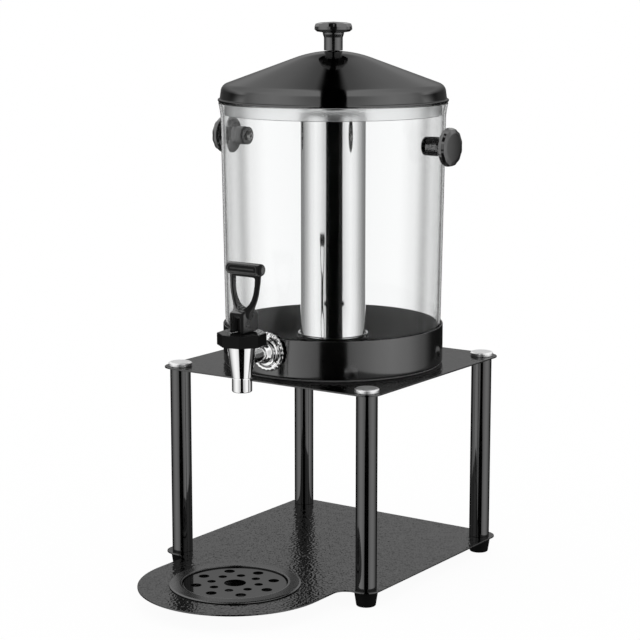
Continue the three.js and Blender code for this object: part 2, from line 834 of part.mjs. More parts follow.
function tapBody() {
  const tip = spoutTipDiameter / 2;
  const bore = spoutBoreDiameter / 2;
  const tipTop = spoutTipHeight + spoutTipLength;
  const coneTop = spoutConeTopDiameter / 2;
  const collar = bodyCollarDiameter / 2;
  const collarBottom = bonnetBottomHeight + seatGap;
  const collarTop = collarBottom + bodyCollarHeight;
  const seatTop = seatHeight;
  const shell = revolve(outline([
    [bore, spoutTipHeight],
    [tip, spoutTipHeight, spoutTipEdge],
    [tip, tipTop - spoutGroove],
    [tip - spoutGroove, tipTop],
    [tip + spoutGroove, tipTop + spoutGroove],
    [coneTop, collarBottom],
    [collar, collarBottom],
    [collar, collarTop],
    [chamberTopDiameter / 2, collarTop],
    [chamberTopDiameter / 2, seatTop + chamberConeLength],
    [chamberFootDiameter / 2, seatTop],
    [bore, seatTop - seatConeLength],
  ]), tapSteps);
  const neck = shankNeckDiameter / 2;
  const thread = shankThreadDiameter / 2;
  const shoulder = shankShoulderDiameter / 2;
  const shoulderEnd = flangeFront - seatGap;
  const shank = revolveShank([
    [0, 0],
    [neck, 0],
    [neck, shoulderEnd - 2 * shankShoulderLength],
    [shoulder, shoulderEnd - shankShoulderLength],
    [shoulder, shoulderEnd],
    [thread, shoulderEnd],
    [thread, shankEnd],
    [0, shankEnd],
  ], smallSteps);
  const chamber = revolve([
    [0, spoutTipHeight - overrun],
    [bore, spoutTipHeight - overrun],
    [bore, seatTop - seatConeLength],
    [chamberFootDiameter / 2, seatTop],
    [chamberTopDiameter / 2, seatTop + chamberConeLength],
    [chamberTopDiameter / 2, collarTop + overrun],
    [0, collarTop + overrun],
  ], tapSteps);
  const waterway = revolveShank([
    [0, 0],
    [shankBoreDiameter / 2, 0],
    [shankBoreDiameter / 2, shankEnd + overrun],
    [0, shankEnd + overrun],
  ], fineSteps);
  return cut(join(shell, cut(shank, chamber)), waterway);
}

function tapFlange() {
  const rim = flangeDiameter / 2;
  const hub = flangeHubDiameter / 2;
  const bore = shankThreadDiameter / 2 + seatGap;
  const step = flangeBack - flangeRimThickness;
  const geometry = revolveShank([
    [bore, flangeBack],
    [rim, flangeBack],
    [rim, step],
    [hub, step - flangeLobeDepth],
    [hub - flangeRimThickness, flangeFront],
    [bore, flangeFront],
  ], 2 * flangeLobes);
  const position = geometry.attributes.position;
  for (let i = 0; i < position.count; i += 1) {
    const x = position.getX(i);
    const z = position.getZ(i) - tapAxisHeight;
    const radius = Math.hypot(x, z);
    const turn = ((Math.atan2(z, x) + 2 * Math.PI) * flangeLobes) / Math.PI;
    if (radius > hub + flangeLobeDepth && Math.round(turn) % 2 !== 0) {
      const pull = (radius - flangeLobeDepth) / radius;
      position.setX(i, x * pull);
      position.setZ(i, z * pull + tapAxisHeight);
    }
  }
  return geometry;
}

function tapBonnet() {
  const radius = bonnetAcrossFlats / 2 / Math.cos(Math.PI / bonnetSides);
  const prism = slab(shapeOf(polygon(bonnetSides, bonnetAcrossFlats)), bonnetHeight)
    .translate(0, 0, bonnetBottomHeight);
  const turned = revolve([
    [0, bonnetBottomHeight],
    [radius - bonnetEdge, bonnetBottomHeight],
    [radius, bonnetBottomHeight + bonnetEdge],
    [radius, bonnetTopHeight - bonnetEdge],
    [radius - bonnetEdge, bonnetTopHeight],
    [0, bonnetTopHeight],
  ], 2 * bonnetSides);
  const cavity = rod(bodyCollarDiameter + 2 * seatGap, bonnetCeiling - bonnetBottomHeight + overrun, tapSteps)
    .translate(0, 0, bonnetBottomHeight - overrun);
  const guide = rod(stemDiameter + 2 * seatGap, bonnetRoof + 2 * overrun, smallSteps)
    .translate(0, 0, bonnetCeiling - overrun);
  return cut(common(prism, turned), cavity, guide).rotateZ(bonnetTurn);
}

// The flat tongue with its pin hole on top, the rod through the bonnet and the collar that holds the spring.
const cupTop = seatHeight - seatConeLength + seatGap + cupHeight;
const stemCollarBottom = cupTop + seatGap;
const tongueBottom = bonnetTopHeight + 2 * seatGap;

function tapStem() {
  const tongueSide = [];
  const bottom = tongueBottom - pinZ;
  tongueSide.push([-tongueRadius, bottom], [tongueRadius, bottom]);
  for (let k = 0; k <= fineSteps; k += 1) {
    const angle = (Math.PI * k) / fineSteps;
    tongueSide.push([tongueRadius * Math.cos(angle), tongueRadius * Math.sin(angle)]);
  }
  const profile = shapeOf(tongueSide);
  profile.holes.push(circle(0, 0, pinDiameter / 2 + seatGap, fineSteps));
  const tongue = sideSlab(profile, tongueWidth).translate(0, 0, pinZ);
  const stemBottom = stemCollarBottom - stemTail;
  const shaft = revolve([
    [0, stemBottom],
    [stemDiameter / 2, stemBottom],
    [stemDiameter / 2, stemCollarBottom],
    [stemCollarDiameter / 2, stemCollarBottom],
    [stemCollarDiameter / 2, stemCollarBottom + stemCollarThickness],
    [stemDiameter / 2, stemCollarBottom + stemCollarThickness],
    [stemDiameter / 2, tongueBottom + seatGap],
    [0, tongueBottom + seatGap],
  ], smallSteps);
  return join(tongue, shaft);
}

function tapSeatCup() {
  const bottom = cupTop - cupHeight;
  const bore = stemDiameter / 2 + seatGap;
  const boreBottom = stemCollarBottom - stemTail - seatGap;
  return revolve([
    [0, bottom],
    [cupLipDiameter / 2, bottom],
    [cupDiameter / 2, bottom + cupLipHeight],
    [cupDiameter / 2, cupTop],
    [bore, cupTop],
    [bore, boreBottom],
    [0, boreBottom],
  ], smallSteps);
}

// One unbroken wire: a helix whose end turns lie flat, so that the spring stands square on both seats.
function tapSpring() {
  const bottom = stemCollarBottom + stemCollarThickness + seatGap + springWire / 2;
  const top = bonnetCeiling - seatGap - springWire / 2;
  class Helix extends THREE.Curve {
    getPoint(t, target = new THREE.Vector3()) {
      const turns = t * springTurns;
      const level = THREE.MathUtils.clamp((turns - 1) / (springTurns - 2), 0, 1);
      const flatTurn = (springWire + seatGap) * (THREE.MathUtils.clamp(turns, 0, 1) - 1);
      const lastTurn = (springWire + seatGap) * THREE.MathUtils.clamp(turns - springTurns + 1, 0, 1);
      const low = bottom + springWire + seatGap;
      const high = top - springWire - seatGap;
      const height = low + (high - low) * level + flatTurn + lastTurn;
      const angle = 2 * Math.PI * turns;
      const radius = springMeanDiameter / 2;
      return target.set(radius * Math.cos(angle), radius * Math.sin(angle), height);
    }
  }
  return new THREE.ExtrudeGeometry(circle(0, 0, springWire / 2, 5), {
    steps: 8 * springTurns,
    extrudePath: new Helix(),
    bevelEnabled: false,
  });
}

// Handle, drawn about its pin at zero

// The cam's lower edge: flat, then an involute whose distance below the pin grows evenly with the tilt.
function camShape() {
  const far = blockFront + blockBack;
  const points = [[far, barHeight + far], [far, -camRest], [-camThrow, -camRest]];
  const steps = 8;
  for (let k = 1; k <= steps; k += 1) {
    const tilt = (tiltLimit * k) / steps;
    const reach = camRest + camThrow * tilt;
    const ahead = reach * Math.sin(tilt) + camThrow * Math.cos(tilt);
    const down = reach * Math.cos(tilt) - camThrow * Math.sin(tilt);
    points.push([-ahead, -down]);
  }
  const [endY, endZ] = points[points.length - 1];
  points.push([-far, endZ + (far + endY) * Math.tan(tiltLimit)], [-far, barHeight + far]);
  return shapeOf(points);
}

function handleSide() {
  const neckTop = blockTop + neckRise;
  const armBottom = blockTop + armRise;
  return shapeOf(outline([
    [blockBack, -camRest, heelRadius],
    [blockBack, blockTop, blockCorner],
    [neckSetback + neckDepth / 2, neckTop, neckRise],
    [armSetback + armDepth / 2, armBottom, neckRise],
    [barSetback + armDepth / 2, barHeight],
    [barSetback - armDepth / 2, barHeight],
    [armSetback - armDepth / 2, armBottom, neckRise],
    [neckSetback - neckDepth / 2, neckTop, neckRise],
    [-blockFront, blockTop, blockCorner],
    [-blockFront, -camRest],
  ]));
}

function handleFront() {
  const half = blockWidth / 2;
  const loopLow = loopBottomWidth / 2;
  const loopHigh = loopTopWidth / 2;
  const middle = (loopBottomHeight + barHeight) / 2;
  const bulge = (loopHigh - loopLow) / 6;
  const side = [
    [half, -camRest],
    [half, blockTop, blockCorner],
    [loopLow, loopBottomHeight, neckRise],
    [(loopLow + loopHigh) / 2 + bulge, middle, loopTopWidth],
    [loopHigh, barHeight],
  ];
  const mirrored = side.map(([x, z, fillet]) => [-x, z, fillet]).reverse();
  const shape = shapeOf(outline([...side, ...mirrored]));
  const halfWindow = windowTopWidth / 2;
  const window = new THREE.Shape();
  window.moveTo(-halfWindow + windowCorner, windowTop);
  window.quadraticCurveTo(-halfWindow, windowTop, -halfWindow, windowTop - windowCorner);
  window.bezierCurveTo(
    -halfWindow, (windowTop + windowBottom) / 2,
    -halfWindow / 2, windowBottom,
    0, windowBottom,
  );
  window.bezierCurveTo(
    halfWindow / 2, windowBottom,
    halfWindow, (windowTop + windowBottom) / 2,
    halfWindow, windowTop - windowCorner,
  );
  window.quadraticCurveTo(halfWindow, windowTop, halfWindow - windowCorner, windowTop);
  const points = window.getPoints(6).map((point) => [point.x, point.y]);
  shape.holes.push(shapeOf(points));
  return shape;
}

// The slot that the stem's tongue stands in: open at the front and below, arched on top.
function handleSlot() {
  const radius = slotWidth / 2;
  const points = [[-radius, -camRest - overrun], [radius, -camRest - overrun]];
  for (let k = 0; k <= 6; k += 1) {
    const angle = (Math.PI * k) / 6;
    points.push([radius * Math.cos(angle), slotTop - radius + radius * Math.sin(angle)]);
  }
  const backWall = tongueRadius + 2 * seatGap;
  const depth = blockFront + overrun + backWall;
  return frontSlab(shapeOf(points), depth).translate(0, backWall - depth / 2, 0);
}

function tapHandle() {
  const body = common(
    frontSlab(handleFront(), 2 * (blockBack + overrun)),
    sideSlab(handleSide(), loopTopWidth + 2 * overrun),
    sideSlab(camShape(), loopTopWidth + 2 * overrun),
  );
  const radius = barDiameter / 2;
  const bar = revolve(outline([
    [0, -barLength / 2],
    [radius, -barLength / 2, barEdge],
    [radius, barLength / 2, barEdge],
    [0, barLength / 2],
  ]), capSteps).rotateY(Math.PI / 2).translate(0, barSetback, barHeight);
  const pinHole = rod(pinDiameter + 2 * seatGap, blockWidth + 2 * overrun, fineSteps)
    .translate(0, 0, -blockWidth / 2 - overrun)
    .rotateY(Math.PI / 2);
  return cut(join(body, bar), handleSlot(), pinHole);
}

function tapPin() {
  const length = blockWidth - 2 * seatGap;
  return rod(pinDiameter, length, fineSteps).translate(0, 0, -length / 2).rotateY(Math.PI / 2);
}

function addTap() {
  const bore = shankThreadDiameter + 2 * seatGap;
  const gasketFront = flangeBack + seatGap;
  const across = (geometry, start) => geometry.rotateX(-Math.PI / 2).translate(0, start, tapAxisHeight);
  const nut = shapeOf(polygon(6, nutAcrossFlats));
  nut.holes.push(circle(0, 0, bore / 2, smallSteps));
  add(tapGroup, 'tap_body', tapBody(), 'chrome');
  add(tapGroup, 'tap_flange', tapFlange(), 'chrome');
  add(tapGroup, 'tap_gasket_outer', across(washer(gasketDiameter, bore, gasketThickness), gasketFront), 'rubber');
  add(tapGroup, 'tap_gasket_inner', across(washer(innerGasketDiameter, bore, gasketThickness), innerGasketStart), 'rubber');
  add(tapGroup, 'tap_lock_nut', across(slab(nut, nutThickness), nutStart), 'blackPlastic');
  add(tapGroup, 'tap_bonnet', tapBonnet(), 'blackPlastic');
  add(tapGroup, 'tap_stem', tapStem(), 'blackPlastic');
  add(tapGroup, 'tap_seat_cup', tapSeatCup(), 'silicone');
  add(tapGroup, 'tap_spring', tapSpring(), 'zinc');
  add(tapGroup, 'tap_handle', tapHandle(), 'blackPlastic', 0, 0, pinZ);
  add(tapGroup, 'tap_pin', tapPin(), 'zinc', 0, 0, pinZ);
}

addStand();
addDrip();
add(tankGroup, 'base_ring', baseRing(), 'blackSteel');
add(tankGroup, 'tank', tank(), 'clear');
add(tankGroup, 'ice_tube', iceTube(), 'polished');
addSideKnobs();
addTap();
addLid();

export default product;
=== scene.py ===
import json
import math
from functools import partial

import bmesh
import bpy
import numpy as np
from mathutils.geometry import tessellate_polygon
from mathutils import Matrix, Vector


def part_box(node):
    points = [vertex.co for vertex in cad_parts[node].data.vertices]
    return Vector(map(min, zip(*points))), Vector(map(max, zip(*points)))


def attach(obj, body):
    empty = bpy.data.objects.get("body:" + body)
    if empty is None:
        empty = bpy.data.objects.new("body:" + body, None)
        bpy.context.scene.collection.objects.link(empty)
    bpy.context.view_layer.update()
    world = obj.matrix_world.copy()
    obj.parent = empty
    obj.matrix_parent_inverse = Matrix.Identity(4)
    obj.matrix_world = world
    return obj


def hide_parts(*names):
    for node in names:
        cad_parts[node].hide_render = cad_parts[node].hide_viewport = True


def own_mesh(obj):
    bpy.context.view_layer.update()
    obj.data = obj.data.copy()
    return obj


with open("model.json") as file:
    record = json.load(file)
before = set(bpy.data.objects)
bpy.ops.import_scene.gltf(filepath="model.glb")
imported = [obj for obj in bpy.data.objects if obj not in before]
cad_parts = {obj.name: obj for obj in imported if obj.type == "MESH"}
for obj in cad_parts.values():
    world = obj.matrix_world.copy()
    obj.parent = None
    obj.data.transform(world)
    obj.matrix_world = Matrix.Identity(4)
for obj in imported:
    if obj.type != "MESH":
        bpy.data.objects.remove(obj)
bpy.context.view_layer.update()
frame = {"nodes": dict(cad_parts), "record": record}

bl_info = {
    "name": "Juice dispenser",
    "version": (1, 0, 0),
    "blender": (4, 5, 0),
    "location": "View3D > Sidebar > Dispenser",
    "description": "Dresses the frame of a juice dispenser with its finished surfaces and materials",
    "category": "Add Mesh",
}

SLOTS = {part["node"]: part["material_slot"] for part in frame["record"]["subparts"]}
BODIES = {part: body for body, parts in frame["record"]["behaviour"]["bodies"].items() for part in parts}
CORNERS = ("front_left", "front_right", "back_left", "back_right")
MM = 0.001


def span(part):
    """Lowest and highest corner of a CAD node, in millimetres."""
    low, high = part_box(part)
    return np.array(low) / MM, np.array(high) / MM


def middle_of(part):
    """Centre of a CAD node's box, in millimetres."""
    low, high = span(part)
    return ((low + high) / 2).tolist()


def round_size(part):
    """Radius, foot and top of a round upright CAD node, in millimetres."""
    low, high = span(part)
    return (high[0] - low[0]) / 2, low[2], high[2]


TANK_Y = middle_of("base_ring")[1]
TAP_Y = middle_of("tap_bonnet")[1]
TRAY_Y = middle_of("drip_tray")[1]
SHANK_Z = middle_of("tap_flange")[2]
PIN_Z = middle_of("tap_pin")[2]
KNOB_Z = middle_of("side_knob_right")[2]
SHELF_Z = float(span("upper_plate")[1][2])
BASE_Z = float(span("base_plate")[1][2])
BONNET_Z = float(span("tap_bonnet")[1][2])

# Sizes that more than one piece shares: the radii of holes

ROD_HOLE = 3.3
STEM_HOLE = 3.3
SHANK_HOLE = 8.1
SCREW_HOLE = 2.8


# Sizes and colours that a user would change


def length(name, description, default):
    """A length property whose default is given in millimetres."""
    return bpy.props.FloatProperty(
        name=name, description=description, default=default * MM, min=0.0, subtype="DISTANCE", unit="LENGTH",
        precision=5,
    )


def tint(name, description, default):
    """A colour property from one grey level or three linear values."""
    value = default if isinstance(default, tuple) else (default,) * 3
    return bpy.props.FloatVectorProperty(
        name=name, description=description, default=value, size=3, min=0.0, max=1.0, subtype="COLOR"
    )


def angle(name, description, degrees):
    """An angle property whose default is given in degrees."""
    return bpy.props.FloatProperty(
        name=name, description=description, default=math.radians(degrees), subtype="ANGLE"
    )


def share(name, description, default):
    """A property from 0 to 1."""
    return bpy.props.FloatProperty(
        name=name, description=description, default=default, min=0.0, max=1.0, subtype="FACTOR"
    )


class DISPENSER_stand_sizes(bpy.types.PropertyGroup):
    """Sizes of the stand and the drip catcher."""

    lobe_radius: length("Lobe radius", "Radius of the round lobe of the base plate", 93)
    lobe_fillet: length("Lobe fillet", "Hollow fillet where the lobe runs into the front edge", 13)
    plate_corner: length("Plate corner", "Radius of the corners of both plates", 15.5)
    plate_edge: length("Plate edge", "Rounding of the cut edges of the plates", 0.35)
    dent_size: length("Dent size", "Width of one hammered dent", 2.6)
    dent_depth: length("Dent depth", "Depth of the hammered dents", 0.22)
    pan_mouth: length("Pan mouth", "Diameter of the drip tray's mouth", 101)
    cap_edge: length("Cap edge", "Rounding of the cap nuts", 1.1)
    foot_edge: length("Foot edge", "Rounding of the rubber feet", 1.0)


class DISPENSER_tank_sizes(bpy.types.PropertyGroup):
    """Sizes of the ring, the tank and the ice tube."""

    ring_corner: length("Ring corner", "Bend between the skirt and the lip of the base ring", 4)
    tank_wall: length("Tank wall", "Thickness of the clear wall", 3)
    tank_corner: length("Tank corner", "Rounding of the foot of the tank", 6)
    flare_height: length("Flare height", "Height of the flared rim of the tank", 12)
    tube_wall: length("Tube wall", "Thickness of the ice tube", 1)


class DISPENSER_lid_sizes(bpy.types.PropertyGroup):
    """Sizes of the lid and the knobs."""

    crown_radius: length("Crown radius", "Radius of the round top of the lid", 110)
    shoulder_radius: length("Shoulder radius", "Radius of the lid's shoulder", 9)
    band_height: length("Band height", "Height of the lid's upright band up to its shoulder", 9.06)
    cone_angle: angle("Cone angle", "Slope of the lid's cone", 20.2)
    knob_scallop: length("Knob scallop", "Depth of the scallops round a knob", 0.62)


class DISPENSER_tap_sizes(bpy.types.PropertyGroup):
    """Sizes of the tap's finer forms."""

    bonnet_corner: length("Bonnet corner", "Rounding of the octagon's upright edges", 1.0)
    bonnet_edge: length("Bonnet edge", "Rounding of the octagon's top and bottom edges", 0.9)
    flute_depth: length("Flute depth", "Depth of the flutes round the flange", 0.7)
    handle_voxel: length("Handle grain", "Cell size at which the handle's forms are melted together", 0.4)
    handle_bead: length("Handle bead", "Radius of the beads on the handle's bar", 0.36)


class DISPENSER_finishes(bpy.types.PropertyGroup):
    """Colours of the finishes."""

    black_steel: tint("Black steel", "Polished black steel", 0.13)
    satin_steel: tint("Satin steel", "Brushed dark steel of the drip tray", 0.15)
    ring_steel: tint("Ring steel", "Satin black steel of the base ring", 0.135)
    hammered_steel: tint("Hammered steel", "Hammered black steel", 0.098)
    chrome: tint("Chrome", "Chrome of the tap", 0.95)
    stainless: tint("Stainless", "Polished stainless steel of the ice tube", 0.98)
    cap_steel: tint("Cap steel", "Satin steel of the cap nuts", 0.95)
    clear_plastic: tint("Clear plastic", "Tint of the clear tank", (0.985, 0.99, 0.99))
    frosted_plastic: tint("Frosted plastic", "Tint of the lid's seal", (0.96, 0.965, 0.965))
    black_plastic: tint("Black plastic", "Gloss black plastic", 0.006)
    # Painted highlight: the beads' lighter grey stands for the light along the lines of the handle's bar
    bead_painted_highlight: tint("Bead plastic", "Rubbed edges of the handle's beads", 0.045)
    knob_plastic: tint("Knob plastic", "Gloss dark plastic of the knobs", 0.006)
    black_rubber: tint("Black rubber", "Rubber of the feet and gaskets", 0.003)


class DISPENSER_studio(bpy.types.PropertyGroup):
    """The camera and the light round the object."""

    camera_place: bpy.props.FloatVectorProperty(
        name="Camera place", description="Place of the camera", default=(1.0756, -1.5291, 0.5924),
        subtype="TRANSLATION", unit="LENGTH",
    )
    camera_tilt: angle("Camera tilt", "Tilt of the camera from straight down", 79.86)
    camera_turn: angle("Camera turn", "Turn of the camera about the vertical", 34.34)
    camera_lens: bpy.props.FloatProperty(
        name="Lens", description="Focal length in millimetres", default=109.63, unit="CAMERA"
    )
    flag_width: share("Flag width", "Half width of the black flag in front, as a sine", 0.23)
    shadow_share: share("Shadow share", "How strongly the floor shows the shadow", 0.05)


# Shapes worked out as whole arrays

# Edges sharper than this stay sharp, in degrees
SHARP_ANGLE = 35.0
# Points this near become one and faces thinner than this are dropped, in metres
MERGE_WITHIN, FLAT_BELOW = 2e-6, 1e-7


def rounded(corners, closed=True, steps=6):
    """Outline or profile with round corners.

    Each corner is (u, v, radius). The arc at a corner touches both sides at radius / tan(half the corner's
    angle) from it; its points turn evenly from one touching point to the other about the arc's centre.
    """
    table = np.array([tuple(c) + (0.0,) * (3 - len(c)) for c in corners], float)
    p, radius = table[:, :2], table[:, 2].copy()
    if not closed:
        radius[[0, -1]] = 0.0
    back, ahead = np.roll(p, 1, 0) - p, np.roll(p, -1, 0) - p
    back_length, ahead_length = np.linalg.norm(back, axis=1), np.linalg.norm(ahead, axis=1)
    back, ahead = back / back_length[:, None], ahead / ahead_length[:, None]
    half = np.arccos(np.clip((back * ahead).sum(1), -1, 1)) / 2
    bend = (radius > 0) & (half < math.pi / 2 - 1e-4)
    safe = np.where(bend, half, 0.5)
    reach = np.minimum(radius / np.tan(safe), np.minimum(back_length, ahead_length) / 2.001)
    real = reach * np.tan(safe)
    middle = back + ahead
    middle = middle / np.maximum(np.linalg.norm(middle, axis=1), 1e-12)[:, None]
    centre = p + middle * (real / np.sin(safe))[:, None]
    first, last = p + back * reach[:, None] - centre, p + ahead * reach[:, None] - centre
    swing = np.maximum(math.pi - 2 * safe, 1e-6)[:, None]
    t = np.linspace(0, 1, steps + 1)[None, :]
    part_first, part_last = np.sin((1 - t) * swing) / np.sin(swing), np.sin(t * swing) / np.sin(swing)
    arcs = centre[:, None] + first[:, None] * part_first[..., None] + last[:, None] * part_last[..., None]
    arcs = np.where(bend[:, None, None], arcs, p[:, None])
    keep = bend[:, None] | (np.arange(steps + 1)[None, :] == 0)
    return arcs[keep]


def section(corners, bend=6):
    """Half section of a turned form from corners (radius, height, rounding), each round corner in so many
    steps. It closes on itself unless it starts on the axis."""
    return rounded(corners, closed=corners[0][0] > 0, steps=bend)


def ring_of(radius, steps, x=0.0, y=0.0, start=0.0):
    """Points of a circle: x + r cos a, y + r sin a, with a in even steps."""
    a = start + np.arange(steps) * 2 * math.pi / steps
    return np.stack([x + radius * np.cos(a), y + radius * np.sin(a)], 1)


def lift(outline, z):
    """Outline points at one height."""
    return np.column_stack([outline, np.full(len(outline), z)])


def polygon_corners(sides, across_flats, fillet):
    """Corners of a regular polygon, flats facing +X, with a fillet each."""
    a = (np.arange(sides) + 0.5) * 2 * math.pi / sides
    radius = across_flats / 2 / math.cos(math.pi / sides)
    return np.stack([radius * np.cos(a), radius * np.sin(a), np.full(sides, fillet)], 1)


def flow(points, steps):
    """Smooth curve through the given rows (Catmull-Rom): each stretch is the cubic whose slope at a row is
    half the step from the row before to the row after. Works on any number of columns."""
    p = np.array(points, float)
    whole = np.vstack([2 * p[0] - p[1], p, 2 * p[-1] - p[-2]])
    t = np.linspace(0, len(p) - 1, steps)
    k = np.minimum(t.astype(int), len(p) - 2)
    s = (t - k)[:, None]
    a, b, c, d = whole[k], whole[k + 1], whole[k + 2], whole[k + 3]
    return 0.5 * (
        2 * b + (c - a) * s + (2 * a - 5 * b + 4 * c - d) * s ** 2 + (3 * b - a - 3 * c + d) * s ** 3
    )


def new_piece(name, points, faces, sharp=SHARP_ANGLE):
    """A piece from points in millimetres and faces: doubles merged, faces turned outwards, smooth but for
    edges sharper than the given angle."""
    mesh = bpy.data.meshes.new(name)
    mesh.from_pydata((np.asarray(points) * MM).tolist(), [], [tuple(f) for f in faces])
    piece = bpy.data.objects.new(name, mesh)
    bpy.context.scene.collection.objects.link(piece)
    settle(piece, sharp)
    return piece


def settle(piece, sharp=SHARP_ANGLE, merge=True):
    """Merges doubles, drops flat faces, turns the faces outwards and sets the smooth shading."""
    work = bmesh.new()
    work.from_mesh(piece.data)
    if merge:
        bmesh.ops.remove_doubles(work, verts=work.verts, dist=MERGE_WITHIN)
        bmesh.ops.dissolve_degenerate(work, edges=work.edges, dist=FLAT_BELOW)
    bmesh.ops.recalc_face_normals(work, faces=work.faces)
    work.to_mesh(piece.data)
    work.free()
    piece.data.shade_smooth()
    piece.data.set_sharp_from_angle(angle=math.radians(sharp))
    piece.data.update()


def grid_faces(rows, columns, wrap_rows=False):
    """Quads of a grid of closed loops: point (i, j) joins (i, j + 1), (i + 1, j + 1) and (i + 1, j)."""
    i = np.arange(rows if wrap_rows else rows - 1)[:, None]
    j = np.arange(columns)[None, :]
    i_next, j_next = (i + 1) % rows, (j + 1) % columns
    quads = [i * columns + j, i * columns + j_next, i_next * columns + j_next, i_next * columns + j]
    return np.stack(quads, -1).reshape(-1, 4)


def skin(name, grid, wrap_rows=False, place=None, sharp=SHARP_ANGLE):
    """A piece from a grid of points whose rows are closed loops. place moves the points."""
    points = grid.reshape(-1, 3)
    if place is not None:
        points = place(points)
    return new_piece(name, points, grid_faces(grid.shape[0], grid.shape[1], wrap_rows), sharp)


def turn_about(profile, steps, x=0.0, y=0.0, wave=None):
    """Grid of a turned form: the point at profile (r, h) and angle a is (x + r cos a, y + r sin a, h). A wave
    function of (r, h, a) may change the radius."""
    a = np.arange(steps)[None, :] * 2 * math.pi / steps
    r, h = profile[:, :1], profile[:, 1:2]
    radius = r + np.zeros_like(a) if wave is None else wave(r, h, a)
    return np.stack([x + radius * np.cos(a), y + radius * np.sin(a), h + np.zeros_like(a)], -1)


def turned(name, profile, steps=96, x=0.0, y=0.0, wave=None, place=None, sharp=SHARP_ANGLE):
    """A turned piece from a profile that closes on itself or starts and ends on the axis."""
    return skin(name, turn_about(profile, steps, x, y, wave), profile[0, 0] > 0, place, sharp)


def plate(name, rows, outline, holes=(), place=None):
    """A flat piece cut from a sheet. Its rim carries the outline through rows of (inset, height): each point
    moves inwards along the outline's normal by the inset. Holes are outlines whose rims are carried outwards
    by the same insets. The two flats are tessellated between the rim and the holes."""
    points, faces, first, last = [], [], [], []
    start = 0
    for sign, loop in [(1, outline)] + [(-1, hole) for hole in holes]:
        tangent = np.roll(loop, -1, 0) - np.roll(loop, 1, 0)
        normal = np.stack([tangent[:, 1], -tangent[:, 0]], 1)
        normal /= np.linalg.norm(normal, axis=1)[:, None]
        area = 0.5 * np.sum(loop[:, 0] * np.roll(loop[:, 1], -1) - np.roll(loop[:, 0], -1) * loop[:, 1])
        outward = normal * np.sign(area) * sign
        grid = np.stack([lift(loop - outward * inset, z) for inset, z in rows])
        points.append(grid.reshape(-1, 3))
        faces.append(grid_faces(len(rows), len(loop)) + start)
        first.append(np.arange(len(loop)) + start)
        last.append(np.arange(len(loop)) + start + (len(rows) - 1) * len(loop))
        start += grid.shape[0] * grid.shape[1]
    points = np.concatenate(points)
    flats = []
    for loops in (first, last):
        index = np.concatenate(loops)
        triangles = tessellate_polygon([[tuple(points[k]) for k in loop] for loop in loops])
        flats += [tuple(index[list(t)]) for t in triangles]
    if place is not None:
        points = place(points)
    sides = [tuple(f) for f in np.concatenate(faces)]
    return new_piece(name, points, sides + flats)


def edge_rows(low, high, radius, steps=4):
    """Rows (inset, height) of a plate's edge with a quarter round at the bottom and at the top."""
    a = np.linspace(0, math.pi / 2, steps + 1)
    lower = np.stack([radius * (1 - np.sin(a)), low + radius * (1 - np.cos(a))], 1)
    upper = np.stack([radius * (1 - np.cos(a)), high - radius * (1 - np.sin(a))], 1)
    return np.vstack([lower, upper])


def to_shank(points):
    """Turns a form drawn about Z so that its axis runs along Y through the shank: height becomes reach."""
    return np.stack([points[:, 0], TAP_Y + points[:, 2], SHANK_Z - points[:, 1]], 1)


def side_view(points):
    """Turns a form drawn in plan into one drawn from the side: (u, v, w) becomes (x = w, y = u, z = v)."""
    return points[:, [2, 0, 1]]


def upright(seat):
    """Places a form drawn about Z on the tank's axis, its base at the seat's height."""
    return lambda points: np.stack([points[:, 0], TANK_Y + points[:, 1], seat + points[:, 2]], 1)


def sideways(sign, seat):
    """Lays a form drawn about Z along X at the knobs' height, its base as far out as the seat."""
    return lambda points: np.stack(
        [sign * (seat + points[:, 2]), TANK_Y + points[:, 1], KNOB_Z + points[:, 0]], 1
    )


def combine(piece, tool, way="DIFFERENCE"):
    """Cuts the tool out of the piece or joins it on, by a boolean made final, and removes the tool."""
    change = piece.modifiers.new("combine", "BOOLEAN")
    change.object, change.operation, change.solver = tool, way, "EXACT"
    bake_modifiers(piece)
    remove(tool)


def remove(piece):
    """Removes a helper piece with its mesh."""
    spent = piece.data
    bpy.data.objects.remove(piece)
    bpy.data.meshes.remove(spent)


def bake_modifiers(piece):
    """Replaces the piece's mesh with what its modifiers make of it."""
    view = bpy.context.evaluated_depsgraph_get()
    made = bpy.data.meshes.new_from_object(piece.evaluated_get(view))
    piece.modifiers.clear()
    old, name = piece.data, piece.data.name
    piece.data = made
    bpy.data.meshes.remove(old)
    made.name = name


def drill(piece, radius, low, high, x=0.0, y=0.0, steps=48, place=None):
    """Cuts a round hole into the piece."""
    profile = np.array([[0, low], [radius, low], [radius, high], [0, high]], float)
    combine(piece, turned("cutter", profile, steps, x, y, place=place))


def dress(piece, look, part, weighted=True):
    """Gives the piece its finish and makes it stand for its CAD node and ride on that node's body."""
    piece.data.materials.clear()
    piece.data.materials.append(FINISHES[look])
    if weighted:
        even = piece.modifiers.new("even normals", "WEIGHTED_NORMAL")
        even.keep_sharp = True
        even.weight = 50
    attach(piece, BODIES[part])
    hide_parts(part)


def lathe(name, corners, look, part, steps=96, x=0.0, y=0.0, place=None):
    """A dressed piece turned from the corners of its half section."""
    dress(turned(name, section(corners), steps, x, y, place=place), look, part)


# Shader nodes


def plug(tree, socket, value):
    """Gives an input its value, or a link where the value is another node's socket."""
    if isinstance(value, bpy.types.NodeSocket):
        tree.links.new(value, socket)
    else:
        socket.default_value = value


def node(tree, kind, values=None, **inputs):
    """A new node with settings and inputs. An input is named by its label, or i and its number."""
    made = tree.nodes.new(kind)
    for key, value in (values or {}).items():
        setattr(made, key, value)
    for key, value in inputs.items():
        numbered = key[0] == "i" and key[1:].isdigit()
        plug(tree, made.inputs[int(key[1:]) if numbered else key.replace("_", " ")], value)
    return made


